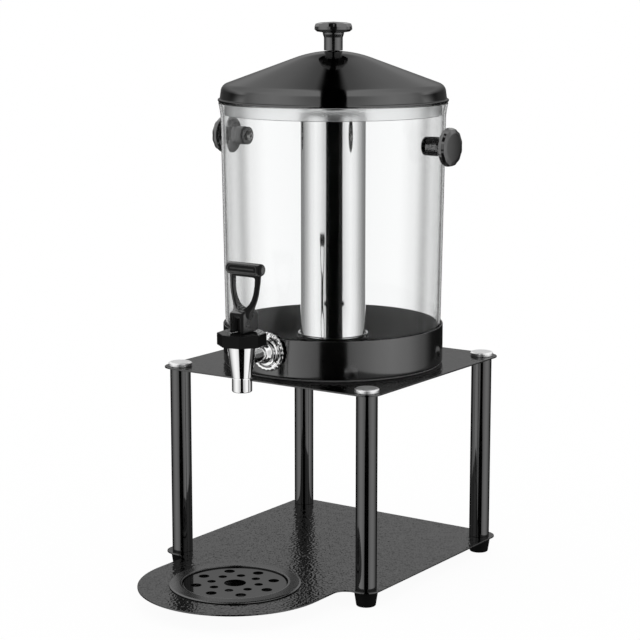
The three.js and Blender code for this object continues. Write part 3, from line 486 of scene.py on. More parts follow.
def maths(tree, operation, *terms):
    """A math node's result."""
    made = node(tree, "ShaderNodeMath", {"operation": operation})
    for socket, term in zip(made.inputs, terms):
        plug(tree, socket, term)
    return made.outputs[0]


def vectors(tree, operation, *terms, **scale):
    """A vector math node's result."""
    made = node(tree, "ShaderNodeVectorMath", {"operation": operation}, **scale)
    for socket, term in zip(made.inputs, terms):
        plug(tree, socket, term)
    return made.outputs["Vector"]


def ease(tree, value, start, stop, low=0.0, high=1.0, way="SMOOTHSTEP"):
    """A value carried from the range start to stop into the range low to high and held at its ends."""
    limits = {"i1": start, "i2": stop, "i3": low, "i4": high}
    return node(tree, "ShaderNodeMapRange", {"interpolation_type": way}, Value=value, **limits).outputs[0]


def fill_ramp(ramp, levels, tone=(1.0, 1.0, 1.0)):
    """Fills a new colour ramp, which has a step at each end already, with (place, level) steps of a tone."""
    steps, last = ramp.elements, len(levels) - 1
    for k, (place, level) in enumerate(levels):
        step = steps[0] if k == 0 else steps[-1] if k == last else steps.new(place)
        step.color = (level * tone[0], level * tone[1], level * tone[2], 1.0)


def place_of(tree):
    """The object's own coordinates."""
    return tree.nodes.new("ShaderNodeTexCoord").outputs["Object"]


def noise(tree, size, place=None, **values):
    """Noise with features of the given size, on the object's own coordinates unless a place is given."""
    scale = maths(tree, "DIVIDE", 1.0, size)
    place = place or place_of(tree)
    return node(tree, "ShaderNodeTexNoise", Vector=place, Scale=scale, **values).outputs["Fac"]


# Shader node groups that more than one finish uses


def node_group(name, inputs, *outputs):
    """An empty shader group with its two end nodes. Its sockets are numbers, but for those labelled Color."""
    if name in bpy.data.node_groups:
        bpy.data.node_groups.remove(bpy.data.node_groups[name])
    group = bpy.data.node_groups.new(name, "ShaderNodeTree")
    for label, value in inputs.items():
        kind = "NodeSocketColor" if label == "Color" else "NodeSocketFloat"
        group.interface.new_socket(label, in_out="INPUT", socket_type=kind).default_value = value
    for label in outputs:
        kind = "NodeSocketColor" if label == "Color" else "NodeSocketFloat"
        group.interface.new_socket(label, in_out="OUTPUT", socket_type=kind)
    return group, group.nodes.new("NodeGroupInput").outputs, group.nodes.new("NodeGroupOutput").inputs


def between(group, start, level):
    """A level from 0 to 1 carried to the range from Lowest to Highest."""
    width = maths(group, "SUBTRACT", start["Highest"], start["Lowest"])
    return maths(group, "MULTIPLY_ADD", level, width, start["Lowest"])


def haze_group():
    """Polish haze: roughness drifts between two values in soft clouds."""
    inputs = {"Lowest": 0.03, "Highest": 0.09, "Cloud size": 0.03}
    group, start, end = node_group("Polish haze", inputs, "Roughness")
    clouds = noise(group, start["Cloud size"], Detail=4.0, Roughness=0.6)
    level = maths(group, "SMOOTH_MIN", maths(group, "MULTIPLY", clouds, 1.2), 1.0, 0.2)
    group.links.new(between(group, start, level), end["Roughness"])


def drift_group():
    """Colour drift: a colour grows a little lighter and darker in broad soft patches."""
    inputs = {"Color": grey(0.5), "Amount": 0.1, "Patch size": 0.05}
    group, start, end = node_group("Colour drift", inputs, "Color")
    patches = noise(group, start["Patch size"], Detail=3.0, Roughness=0.5)
    shift = maths(group, "SUBTRACT", patches, 0.5)
    gain = maths(group, "MULTIPLY_ADD", shift, maths(group, "MULTIPLY", start["Amount"], 2.0), 1.0)
    group.links.new(vectors(group, "SCALE", start["Color"], Scale=gain), end["Color"])


def dents_group():
    """Hammered dents: overlapping round dents of one size in uneven rows, deepest in their middle."""
    group, start, end = node_group("Hammered dents", {"Dent size": 0.0026}, "Height")
    place = place_of(group)
    wander = node(group, "ShaderNodeTexNoise", Vector=place, Scale=70.0, Detail=2.0)
    moved = vectors(group, "MULTIPLY_ADD", wander.outputs["Color"], (0.003, 0.003, 0.0), place)
    squeezed = vectors(group, "MULTIPLY", moved, (1.0, 0.8, 0.05))
    scale = maths(group, "DIVIDE", 1.0, start["Dent size"])
    cells = node(group, "ShaderNodeTexVoronoi", {"feature": "SMOOTH_F1"}, Vector=squeezed, Scale=scale,
                 Smoothness=0.45, Randomness=0.85)
    deep = maths(group, "POWER", cells.outputs["Distance"], 1.5)
    fine = noise(group, start["Dent size"], squeezed, Detail=1.0)
    group.links.new(maths(group, "MULTIPLY_ADD", fine, 0.5, deep), end["Height"])


def brushed_group():
    """Brushed lines: fine streaks along Y, in the roughness and as a height."""
    inputs = {"Lowest": 0.2, "Highest": 0.35, "Pitch": 0.0004}
    group, start, end = node_group("Brushed lines", inputs, "Roughness", "Height")
    drawn_out = vectors(group, "MULTIPLY", place_of(group), (1.0, 0.02, 1.0))
    lines = noise(group, start["Pitch"], drawn_out, Detail=2.0)
    group.links.new(between(group, start, lines), end["Roughness"])
    group.links.new(lines, end["Height"])


def grain_group():
    """Moulded grain: very fine pits of a spark-eroded mould."""
    group, start, end = node_group("Moulded grain", {"Grain size": 0.0006}, "Height")
    group.links.new(noise(group, start["Grain size"], Detail=3.0, Roughness=0.7), end["Height"])


# Finishes

FINISHES = {}


def grey(level):
    """A grey colour with full alpha."""
    return (level, level, level, 1.0)


def effect(tree, name, **inputs):
    """Puts a shared node group into a material with its own values and returns its outputs."""
    return node(tree, "ShaderNodeGroup", {"node_tree": bpy.data.node_groups[name]}, **inputs).outputs


def finish(name, colour=None, drift=None, haze=None, **constants):
    """Makes a material whose Principled shader holds the constants; returns its tree and shader.

    drift is the amount and the patch size of the colour's drift. haze is the lowest and the highest
    roughness and the size of its clouds.
    """
    made = bpy.data.materials.new(name)
    made.use_nodes = True
    tree, shader = made.node_tree, made.node_tree.nodes["Principled BSDF"]
    for key, value in constants.items():
        shader.inputs[key.replace("_", " ")].default_value = value
    if drift:
        full = (colour[0], colour[1], colour[2], 1.0)
        tone = effect(tree, "Colour drift", Color=full, Amount=drift[0], Patch_size=drift[1])
        tree.links.new(tone["Color"], shader.inputs["Base Color"])
    if haze:
        clouds = effect(tree, "Polish haze", Lowest=haze[0], Highest=haze[1], Cloud_size=haze[2])
        tree.links.new(clouds["Roughness"], shader.inputs["Roughness"])
    FINISHES[name] = made
    return tree, shader


def brighten(tree, shader, gain):
    """Multiplies the shader's colour by a gain."""
    colour = shader.inputs["Base Color"]
    tree.links.new(vectors(tree, "SCALE", colour.links[0].from_socket, Scale=gain), colour)


def bump(tree, shader, height, distance):
    """A bump node between a height and the shader's normal."""
    made = node(tree, "ShaderNodeBump", Height=height, Distance=distance, Strength=1.0)
    tree.links.new(made.outputs["Normal"], shader.inputs["Normal"])


def make_metals(colours, stand):
    """The metal finishes."""
    metal = partial(finish, Metallic=1.0)
    metal("black steel", colours.black_steel, (0.06, 0.04), (0.03, 0.09, 0.02), Specular_Tint=grey(0.5))
    metal("satin steel", colours.satin_steel, (0.06, 0.04), (0.2, 0.28, 0.02), Specular_Tint=grey(0.7))
    metal("chrome", colours.chrome, (0.03, 0.02), (0.02, 0.06, 0.01))
    metal("zinc steel", (0.5, 0.5, 0.49), (0.1, 0.004), (0.2, 0.4, 0.003))

    tree, shader = metal("hammered steel", colours.hammered_steel, (0.08, 0.03), (0.02, 0.06, 0.01),
                         Specular_Tint=grey(0.66))
    dents = effect(tree, "Hammered dents", Dent_size=stand.dent_size)
    bump(tree, shader, dents["Height"], distance=stand.dent_depth)

    tree, shader = metal("cap steel", colours.cap_steel, (0.04, 0.01))
    lines = effect(tree, "Brushed lines", Lowest=0.28, Highest=0.42, Pitch=0.0004)
    tree.links.new(lines["Roughness"], shader.inputs["Roughness"])
    bump(tree, shader, lines["Height"], distance=0.00001)

    # The ring is rougher on the inside of its skirt, told by the distance from its axis, and its colour there
    # is lightened: painted light on the inner wall
    tree, shader = metal("ring steel", colours.ring_steel, (0.05, 0.05), (0.08, 0.14, 0.02),
                         Specular_Tint=grey(0.5))
    from_axis = vectors(tree, "MULTIPLY_ADD", place_of(tree), (1, 1, 0), (0, -TANK_Y * MM, 0))
    radius = node(tree, "ShaderNodeVectorMath", {"operation": "LENGTH"}, i0=from_axis).outputs["Value"]
    skirt, rougher, inner_painted_light = float(span("base_ring")[1][0]) * MM, 0.8, 4.5
    inside = ease(tree, radius, skirt - 0.0004, skirt - 0.0007, 0.0, rougher, "LINEAR")
    rough = shader.inputs["Roughness"]
    tree.links.new(maths(tree, "ADD", rough.links[0].from_socket, inside), rough)
    # Painted light: the colour of the skirt's inside is multiplied up
    brighten(tree, shader, maths(tree, "MULTIPLY_ADD", inside, inner_painted_light, 1.0))

    # Below its upper part the tube's normal leans upwards, so that it mirrors the light from above
    tree, shader = metal("stainless steel", colours.stainless, (0.03, 0.05), (0.05, 0.1, 0.03))
    upright_above, leaning_below, lean = 0.285, 0.24, 0.34
    height = node(tree, "ShaderNodeSeparateXYZ", Vector=place_of(tree)).outputs["Z"]
    tilt = ease(tree, height, upright_above, leaning_below, 0.0, lean)
    upward = node(tree, "ShaderNodeCombineXYZ", Z=tilt).outputs[0]
    leaning = vectors(tree, "ADD", tree.nodes.new("ShaderNodeNewGeometry").outputs["Normal"], upward)
    tree.links.new(vectors(tree, "NORMALIZE", leaning), shader.inputs["Normal"])


def make_plastics(colours):
    """The plastic and rubber finishes."""
    finish("frosted plastic", colours.frosted_plastic, (0.04, 0.03), (0.26, 0.34, 0.01),
           Transmission_Weight=0.93, IOR=1.2, Specular_Tint=grey(0.4))
    # The beads' lighter colour is a painted highlight
    finish("bead highlight plastic", colours.bead_painted_highlight, (0.3, 0.006), (0.2, 0.35, 0.004), IOR=1.5,
           Specular_IOR_Level=0.1)
    finish("knob plastic", colours.knob_plastic, (0.2, 0.01), (0.03, 0.08, 0.005), IOR=2.25)
    finish("silicone", (0.62, 0.64, 0.62), (0.06, 0.006), (0.35, 0.5, 0.004), Subsurface_Weight=0.2,
           Subsurface_Scale=0.002)

    tree, shader = finish("black rubber", colours.black_rubber, (0.3, 0.008), (0.5, 0.7, 0.004),
                          Specular_IOR_Level=0.03)
    bump(tree, shader, effect(tree, "Moulded grain", Grain_size=0.0005)["Height"], distance=0.00005)

    # The clear wall's colour darkens in a narrow range of slants, a painted shade that draws the dark lines
    # along its sides, and a little where the view meets it square, a painted shade towards the ice tube
    tree, shader = finish("clear plastic", Transmission_Weight=1.0, IOR=1.49, Roughness=0.0,
                          Specular_Tint=grey(0.25))
    facing = node(tree, "ShaderNodeLayerWeight", Blend=0.5).outputs["Facing"]
    wall = node(tree, "ShaderNodeValToRGB", Fac=facing)
    wall.color_ramp.interpolation = "EASE"
    levels = [
        (0.0, 0.98), (0.12, 0.995), (0.2, 1.0), (0.33, 0.9), (0.455, 0.56), (0.55, 0.87), (0.64, 1.0),
        (1.0, 0.95),
    ]
    fill_ramp(wall.color_ramp, levels, colours.clear_plastic)
    # Painted shade: the ramp's darker steps are put into the wall's colour
    tree.links.new(wall.outputs["Color"], shader.inputs["Base Color"])

    # Both black plastics shine more where the view grazes them; there the handle's colour is also lightened,
    # a painted sheen
    for name, gloss, start, stop, coat, painted_sheen in (
        ("black plastic", 0.11, 0.74, 0.88, 1.5, 0.0),
        ("handle plastic", 0.06, 0.28, 0.46, 1.9, 7.0),
    ):
        tree, shader = finish(name, colours.black_plastic, (0.2, 0.01), (0.3, 0.5, 0.004), IOR=1.5,
                              Specular_IOR_Level=0.0, Coat_Roughness=0.08, Coat_IOR=coat)
        facing = node(tree, "ShaderNodeLayerWeight", Blend=0.5).outputs["Facing"]
        shine = ease(tree, facing, start, stop, gloss, 1.0)
        tree.links.new(shine, shader.inputs["Coat Weight"])
        # Painted sheen: the colour is lightened where the view grazes the plastic
        brighten(tree, shader, maths(tree, "MULTIPLY_ADD", shine, painted_sheen, 1.0))
        bump(tree, shader, effect(tree, "Moulded grain", Grain_size=0.0012)["Height"], distance=0.00002)


# Pieces


class DispenserOperator:
    """What all operators have in common."""

    bl_options = {"REGISTER", "UNDO"}


class DISPENSER_OT_finishes(DispenserOperator, bpy.types.Operator):
    """Makes the finishes and gives them to the CAD nodes that stay"""

    bl_idname = "dispenser.finishes"
    bl_label = "Finishes"

    def execute(self, context):
        for make_group in (haze_group, drift_group, dents_group, brushed_group, grain_group):
            make_group()
        make_metals(context.scene.dispenser_finishes, context.scene.dispenser_stand)
        make_plastics(context.scene.dispenser_finishes)
        by_slot = {
            "hammered_black": "hammered steel", "black_steel": "black steel", "polished_chrome": "chrome",
            "polished_steel": "stainless steel", "plain_steel": "zinc steel",
            "clear_plastic": "clear plastic", "frosted_plastic": "frosted plastic",
            "black_plastic": "black plastic", "black_rubber": "black rubber", "silicone": "silicone",
        }
        for part, slot in SLOTS.items():
            mesh = frame["nodes"][part].data
            mesh.materials.clear()
            mesh.materials.append(FINISHES[by_slot[slot]])
        return {"FINISHED"}


class DISPENSER_OT_plates(DispenserOperator, bpy.types.Operator):
    """Makes the two hammered plates"""

    bl_idname = "dispenser.plates"
    bl_label = "Plates"

    def execute(self, context):
        sizes = context.scene.dispenser_stand
        edge, corner = sizes.plate_edge / MM, sizes.plate_corner / MM
        lobe, fillet = sizes.lobe_radius / MM, sizes.lobe_fillet / MM
        pan_hole, cap_hole = sizes.pan_mouth / MM / 2 + 1.6, 5.3
        low, high = span("base_plate")
        shelf_low, shelf_high = span("upper_plate")
        posts = [middle_of(f"tie_rod_{name}")[:2] for name in CORNERS]
        front, back, right = shelf_low[1], shelf_high[1], high[0]
        square = [
            (right, front, corner), (right, back, corner), (-right, back, corner), (-right, front, corner),
        ]
        a = math.pi + np.linspace(0, math.pi, 97)
        arc = np.stack([lobe * np.cos(a), TRAY_Y + lobe * np.sin(a), np.zeros_like(a)], 1)
        lobed = square + [(-lobe, front, fillet)] + arc.tolist() + [(lobe, front, fillet)]
        holes = [ring_of(pan_hole, 96, 0, TRAY_Y)] + [ring_of(ROD_HOLE, 32, *post) for post in posts]
        base = plate("base_plate_hammered", edge_rows(low[2], high[2], edge), rounded(lobed, steps=16), holes)
        dress(base, "hammered steel", "base_plate")
        rows = edge_rows(shelf_low[2], shelf_high[2], edge)
        holes = [ring_of(cap_hole, 32, *post) for post in posts]
        shelf = plate("upper_plate_hammered", rows, rounded(square, steps=16), holes)
        dress(shelf, "hammered steel", "upper_plate")
        return {"FINISHED"}


class DISPENSER_OT_posts(DispenserOperator, bpy.types.Operator):
    """Makes the posts, the cap nuts and the feet"""

    bl_idname = "dispenser.posts"
    bl_label = "Posts, caps and feet"

    def execute(self, context):
        sizes = context.scene.dispenser_stand
        edge, foot_edge = sizes.cap_edge / MM, sizes.foot_edge / MM
        for name in CORNERS:
            x, y = middle_of(f"post_{name}")[:2]
            radius, foot, top = round_size(f"post_{name}")
            bore = radius - 1.2
            corners = [(bore, foot), (radius, foot, 0.3), (radius, top, 0.3), (bore, top)]
            lathe(f"post_{name}_tube", corners, "black steel", f"post_{name}", 96, x, y)

            radius, foot, top = round_size(f"post_cap_{name}")
            corners = [
                (0, top - 2.4), (ROD_HOLE, top - 2.4), (ROD_HOLE, foot), (5, foot), (5, SHELF_Z),
                (radius - 0.3, SHELF_Z), (radius, SHELF_Z + 0.3), (radius, top - edge, edge * 0.7),
                (radius - edge * 1.2, top - 0.12, 2.5), (radius - 2 * edge - 2, top - 0.02), (0, top),
            ]
            lathe(f"post_cap_{name}_nut", corners, "cap steel", f"post_cap_{name}", 96, x, y)

            radius, sole, top = round_size(f"foot_{name}")
            corners = [
                (0, sole + 0.6), (6, sole + 0.6, 0.4), (6.6, sole), (9.3, sole, foot_edge),
                (radius, top, 0.5), (3.4, top), (3.4, top - 10), (0, top - 10),
            ]
            lathe(f"foot_{name}_rubber", corners, "black rubber", f"foot_{name}", 72, x, y)
        return {"FINISHED"}


class DISPENSER_OT_drip(DispenserOperator, bpy.types.Operator):
    """Makes the drip tray and its grate"""

    bl_idname = "dispenser.drip"
    bl_label = "Drip tray and grate"

    def execute(self, context):
        rim, floor, crest = round_size("drip_tray")
        mouth = context.scene.dispenser_stand.pan_mouth / MM / 2
        pan, seat, ledge, sheet = mouth - 3.6, BASE_Z + 0.3, BASE_Z - 2.6, 1
        corners = [
            (0, floor), (pan + sheet, floor, 4), (pan + sheet, ledge - sheet, 0.4),
            (mouth + sheet, ledge - sheet, 0.5), (mouth + sheet, seat, 0.4), (rim, seat, 0.2),
            (rim, crest - 1.1, 0.5), (rim - 1.6, crest - 0.62, 0.8), (mouth + 2.2, crest - 0.06, 2),
            (mouth + 0.2, crest - 0.1, 0.5), (mouth, crest - 0.7, 0.5), (mouth, ledge, 0.5),
            (pan, ledge, 0.5), (pan, floor + sheet, 3), (0, floor + sheet),
        ]
        lathe("drip_tray_pan", corners, "satin steel", "drip_tray", 160, 0, TRAY_Y)

        radius, foot, top = round_size("drip_grate")
        sheet = 1.2
        corners = [
            (0, top - sheet), (radius - sheet, top - sheet, 1.2), (radius - sheet, foot), (radius, foot, 0.2),
            (radius, top, 2.4), (0, top),
        ]
        grate = turned("drip_grate_disc", section(corners), 160, 0, TRAY_Y)
        for reach, count, start, hole in ((0, 1, 0, 10.5), (37.4, 8, 0, 5.2), (23.2, 8, math.pi / 8, 4.15)):
            for x, y in ring_of(reach, count, 0, TRAY_Y, start):
                drill(grate, hole, top - 4, top + 3, x, y)
        settle(grate)
        dress(grate, "black steel", "drip_grate")
        return {"FINISHED"}


class DISPENSER_OT_ring(DispenserOperator, bpy.types.Operator):
    """Makes the base ring round the foot of the tank"""

    bl_idname = "dispenser.ring"
    bl_label = "Base ring"

    def execute(self, context):
        radius, foot, top = round_size("base_ring")
        corner, lip, sheet = context.scene.dispenser_tank.ring_corner / MM, radius - 13, 1
        corners = [
            (lip, foot), (radius, foot, corner), (radius, top, 0.4), (radius - sheet, top, 0.4),
            (radius - sheet, foot + sheet, corner - sheet), (lip, foot + sheet),
        ]
        ring = turned("base_ring_skirt", section(corners, 8), 256, 0, TANK_Y)
        drill(ring, SHANK_HOLE, 20, 60, place=to_shank)
        settle(ring)
        dress(ring, "ring steel", "base_ring")
        return {"FINISHED"}


class DISPENSER_OT_tank(DispenserOperator, bpy.types.Operator):
    """Makes the clear tank and the ice tube"""

    bl_idname = "dispenser.tank"
    bl_label = "Tank and ice tube"

    def execute(self, context):
        sizes = context.scene.dispenser_tank
        wall, corner, flare = sizes.tank_wall / MM, sizes.tank_corner / MM, sizes.flare_height / MM
        mouth, bottom, top = round_size("tank")
        radius, tube_bottom, tube_top = round_size("ice_tube")
        foot, rim, sheet, play = 107.0, 111.0, 4, 0.3
        boss, collar_in = tube_bottom - play, radius + play
        collar_out = collar_in + 2.8
        corners = [
            (0, boss - 3), (collar_out - 3, boss - 3, 1.5), (collar_out - 3, bottom, 1.5),
            (foot, bottom, corner), (rim, top - flare, 30), (mouth, top, 1.2), (mouth - wall, top, 1.2),
            (rim - wall, top - flare, 30), (foot - wall, bottom + sheet, corner),
            (collar_out, bottom + sheet, 1.5), (collar_out, boss + 4, 0.8), (collar_in, boss + 4, 0.8),
            (collar_in, boss, 0.5), (0, boss),
        ]
        tank = turned("tank_clear", section(corners, 8), 256, 0, TANK_Y)
        drill(tank, SHANK_HOLE, 20, 90, place=to_shank)
        for start in (-125, 95):
            drill(tank, SCREW_HOLE, start, start + 30, place=sideways(1, 0))
        settle(tank)
        dress(tank, "clear plastic", "tank")

        bottom, top, wall = tube_bottom, tube_top, sizes.tube_wall / MM
        corners = [
            (0, bottom), (radius, bottom, 2.5), (radius, top, 0.5), (radius - wall, top, 0.4),
            (radius - wall, bottom + wall, 1.5), (0, bottom + wall),
        ]
        lathe("ice_tube_steel", corners, "stainless steel", "ice_tube", 192, 0, TANK_Y)
        return {"FINISHED"}


def lid_skin(sizes, band, start, offset, steps=24):
    """The lid's outer or inner skin from the band to the axis: an arc for the shoulder, a straight cone and
    an arc for the crown, each tangent to the next. The crown's centre follows from the cone's upper end."""
    crown, shoulder, slope = sizes.crown_radius / MM, sizes.shoulder_radius / MM, sizes.cone_angle
    shoulder_x, shoulder_z = band - shoulder, start + sizes.band_height / MM
    cone_x, cone_z = shoulder_x + shoulder * math.sin(slope), shoulder_z + shoulder * math.cos(slope)
    join_x = crown * math.sin(slope)
    centre = cone_z + (cone_x - join_x) * math.tan(slope) - crown * math.cos(slope)
    a = np.linspace(0, math.pi / 2 - slope, steps)
    first = np.stack(
        [shoulder_x + (shoulder - offset) * np.cos(a), shoulder_z + (shoulder - offset) * np.sin(a)], 1
    )
    b = np.linspace(slope, 0, steps)
    second = np.stack([(crown - offset) * np.sin(b), centre + (crown - offset) * np.cos(b)], 1)
    t = np.linspace(0, 1, 10)[1:-1, None]
    return np.vstack([first, first[-1] + (second[0] - first[-1]) * t, second])


class DISPENSER_OT_lid(DispenserOperator, bpy.types.Operator):
    """Makes the domed lid and its seal"""

    bl_idname = "dispenser.lid"
    bl_label = "Lid and seal"

    def execute(self, context):
        sizes = context.scene.dispenser_lid
        rim, bottom = round_size("lid")[:2]
        band = rim - 1.95
        outer, inner = (lid_skin(sizes, band - 0.9, bottom, offset) for offset in (0.0, 1.0))
        outer[-1, 0] = inner[-1, 0] = SCREW_HOLE
        curl = rounded(
            [(band - 1, bottom + 2.4), (band - 1, bottom, 0.3), (rim, bottom, 1.0), (rim, bottom + 2.3, 1.0),
             (band, bottom + 2.7, 0.5), (band - 0.4, bottom + 6)],
            closed=False,
        )
        dome = turned("lid_dome", np.vstack([curl, outer, inner[::-1]]), 256, 0, TANK_Y, sharp=50)
        dress(dome, "black steel", "lid", weighted=False)

        flange, foot, top = round_size("lid_seal")
        skirt = 107.2
        corners = [
            (skirt - 2, foot, 0.6), (skirt, foot, 0.6), (skirt, bottom, 0.5), (flange, bottom, 0.4),
            (flange, top, 0.6), (skirt - 2, top, 0.8),
        ]
        lathe("lid_seal_ring", corners, "frosted plastic", "lid_seal", 192, 0, TANK_Y)
        return {"FINISHED"}


def knob_places(kind):
    """Name and placing of the pieces of one kind at the three knobs."""
    seat = span(f"side_knob{kind}_right")[0][0]
    return (
        (f"lid_knob{kind}", upright(span(f"lid_knob{kind}")[0][2])),
        (f"side_knob{kind}_left", sideways(-1, seat)),
        (f"side_knob{kind}_right", sideways(1, seat)),
    )


class DISPENSER_OT_knobs(DispenserOperator, bpy.types.Operator):
    """Makes the knobs with their washers and screws"""

    bl_idname = "dispenser.knobs"
    bl_label = "Knobs"

    def execute(self, context):
        depth = context.scene.dispenser_lid.knob_scallop / MM

        def scallops(r, h, a):
            """Twelve hollows: depth times (0.5 + 0.5 cos 12 a) to the power 0.8, grown in over the rim."""
            reach = np.clip((r - 14.5) / 3, 0, 1) * np.clip((h - 22) / 2, 0.1, 1)
            return r - depth * reach * (0.5 + 0.5 * np.cos(12 * a)) ** 0.8

        corners = [
            (0, 14), (SCREW_HOLE, 14), (SCREW_HOLE, 0), (9.25, 0, 0.5), (9.25, 12.6, 1.5), (10.4, 15.9, 1.2),
            (10.4, 17.4, 0.5), (16.2, 18.3, 1.2), (18.6, 20.4, 0.8), (18.6, 23.4, 0.6), (17.6, 26.0, 0.5),
            (13.0, 27.1, 12), (0, 27.8),
        ]
        for name, place in knob_places(""):
            knob = turned(f"{name}_moulded", section(corners, 8), 240, wave=scallops, place=place)
            dress(knob, "knob plastic", name)
        for name, place in knob_places("_washer"):
            radius, sheet = 7 if name == "lid_knob_washer" else 9, 1.4
            corners = [(SCREW_HOLE, 0, 0.2), (radius, 0, 0.4), (radius, sheet, 0.4), (SCREW_HOLE, sheet, 0.2)]
            lathe(f"{name}_disc", corners, "knob plastic", name, 72, place=place)
        corners = [
            (0, 1.2), (1.6, 1.2), (1.9, 0.0, 0.2), (2.6, 0.0, 1.0), (4.8, 1.4, 0.8), (4.8, 3.2, 0.3),
            (2.5, 3.2), (2.5, 15.2, 0.4), (0, 15.2),
        ]
        for name, place in knob_places("_screw"):
            lathe(f"{name}_pan_head", corners, "zinc steel", name, 48, place=place)
        return {"FINISHED"}


class DISPENSER_OT_tap_body(DispenserOperator, bpy.types.Operator):
    """Makes the chrome spout with its shank and flange, the gaskets and the lock nut"""

    bl_idname = "dispenser.tap_body"
    bl_label = "Tap body"

    def execute(self, context):
        low, high = span("tap_body")
        flange_low, flange_high = span("tap_flange")
        tip, groove, bonnet, seat = low[2], low[2] + 13.8, span("tap_bonnet")[0][2] + 0.3, SHANK_Z - 8.4
        throat, chamber = 8.9, 11.5
        corners = [
            (6.8, tip, 0.8), (9.6, tip, 2.0), (9.6, groove - 0.7, 0.3), (9.15, groove - 0.1, 0.3),
            (9.9, groove + 0.6, 0.3), (14.3, bonnet, 0.1), (16.5, bonnet, 0.2), (16.5, high[2], 0.3),
            (chamber, high[2], 0.3), (chamber, seat + 12, 1), (throat, seat, 0.5), (6.8, seat - 3.6, 0.5),
        ]
        body = turned("tap_body_chrome", section(corners), 160, 0, TAP_Y)
        stop, end = flange_low[1] - TAP_Y - 0.3, high[1] - TAP_Y
        corners = [
            (0, 2), (7.7, 2), (7.7, stop - 5.6, 2), (8.6, stop - 4.4, 1.5), (10.5, stop - 2.2, 0.8),
            (10.5, stop, 0.4), (7.8, stop), (7.8, end, 0.5), (0, end),
        ]
        shank = turned("shank", section(corners), 96, place=to_shank)
        hollow = [
            (0, seat - 10), (throat, seat - 10), (throat, seat), (chamber, seat + 12),
            (chamber, seat + 20), (0, seat + 20),
        ]
        combine(shank, turned("hollow", np.array(hollow), 96, 0, TAP_Y))
        combine(body, shank, "UNION")
        drill(body, 4.5, 2, end + 3, place=to_shank)
        settle(body)
        dress(body, "chrome", "tap_body")
        flute_depth = context.scene.dispenser_tap.flute_depth / MM
        self.flange(flute_depth, flange_low[1] - TAP_Y, flange_high[1] - TAP_Y)

        for name, radius in (("tap_gasket_outer", 17), ("tap_gasket_inner", 13)):
            start, stop = (float(corner[1]) - TAP_Y for corner in span(name))
            corners = [(SHANK_HOLE, start), (radius, start, 0.4), (radius, stop, 0.4), (SHANK_HOLE, stop)]
            lathe(f"{name}_ring", corners, "black rubber", name, 96, place=to_shank)
        low, high = span("tap_lock_nut")
        rows = edge_rows(low[1] - TAP_Y, high[1] - TAP_Y, 0.6)
        outline = rounded(polygon_corners(6, 24, 1.2), steps=5)
        nut = plate("tap_lock_nut_hex", rows, outline, [ring_of(SHANK_HOLE, 64)], place=to_shank)
        dress(nut, "black plastic", "tap_lock_nut")
        return {"FINISHED"}

    def flange(self, depth, front, back):
        """The flange, with flutes depth times (0.5 - 0.5 cos 24 a) to the power 1.3 deep at angle a."""

        def flutes(r, h, a):
            return r - depth * np.clip((r - 15) / 3, 0, 1) * (0.5 - 0.5 * np.cos(24 * a)) ** 1.3

        corners = [
            (SHANK_HOLE, back), (19.3, back, 0.4), (19.3, back - 2.0, 0.9), (17.4, back - 3.0, 0.5),
            (15.6, back - 2.6, 0.6), (14.0, back - 3.4, 0.6), (13.4, back - 5.4, 1.6), (11.4, front, 1.2),
            (SHANK_HOLE, front, 0.3),
        ]
        flange = turned("tap_flange_fluted", section(corners, 8), 288, wave=flutes, place=to_shank)
        dress(flange, "chrome", "tap_flange")


def wire(path, tangent, outward, radius, around):
    """Grid of a round wire along a path: the section's point at angle a is the path's point plus radius times
    (outward cos a + side sin a), where side stands square to the tangent and to outward."""
    side = np.cross(tangent / np.linalg.norm(tangent, axis=1)[:, None], outward)
    a = (np.arange(around) * 2 * math.pi / around)[None, :, None]
    return path[:, None] + radius * (outward[:, None] * np.cos(a) + side[:, None] * np.sin(a))


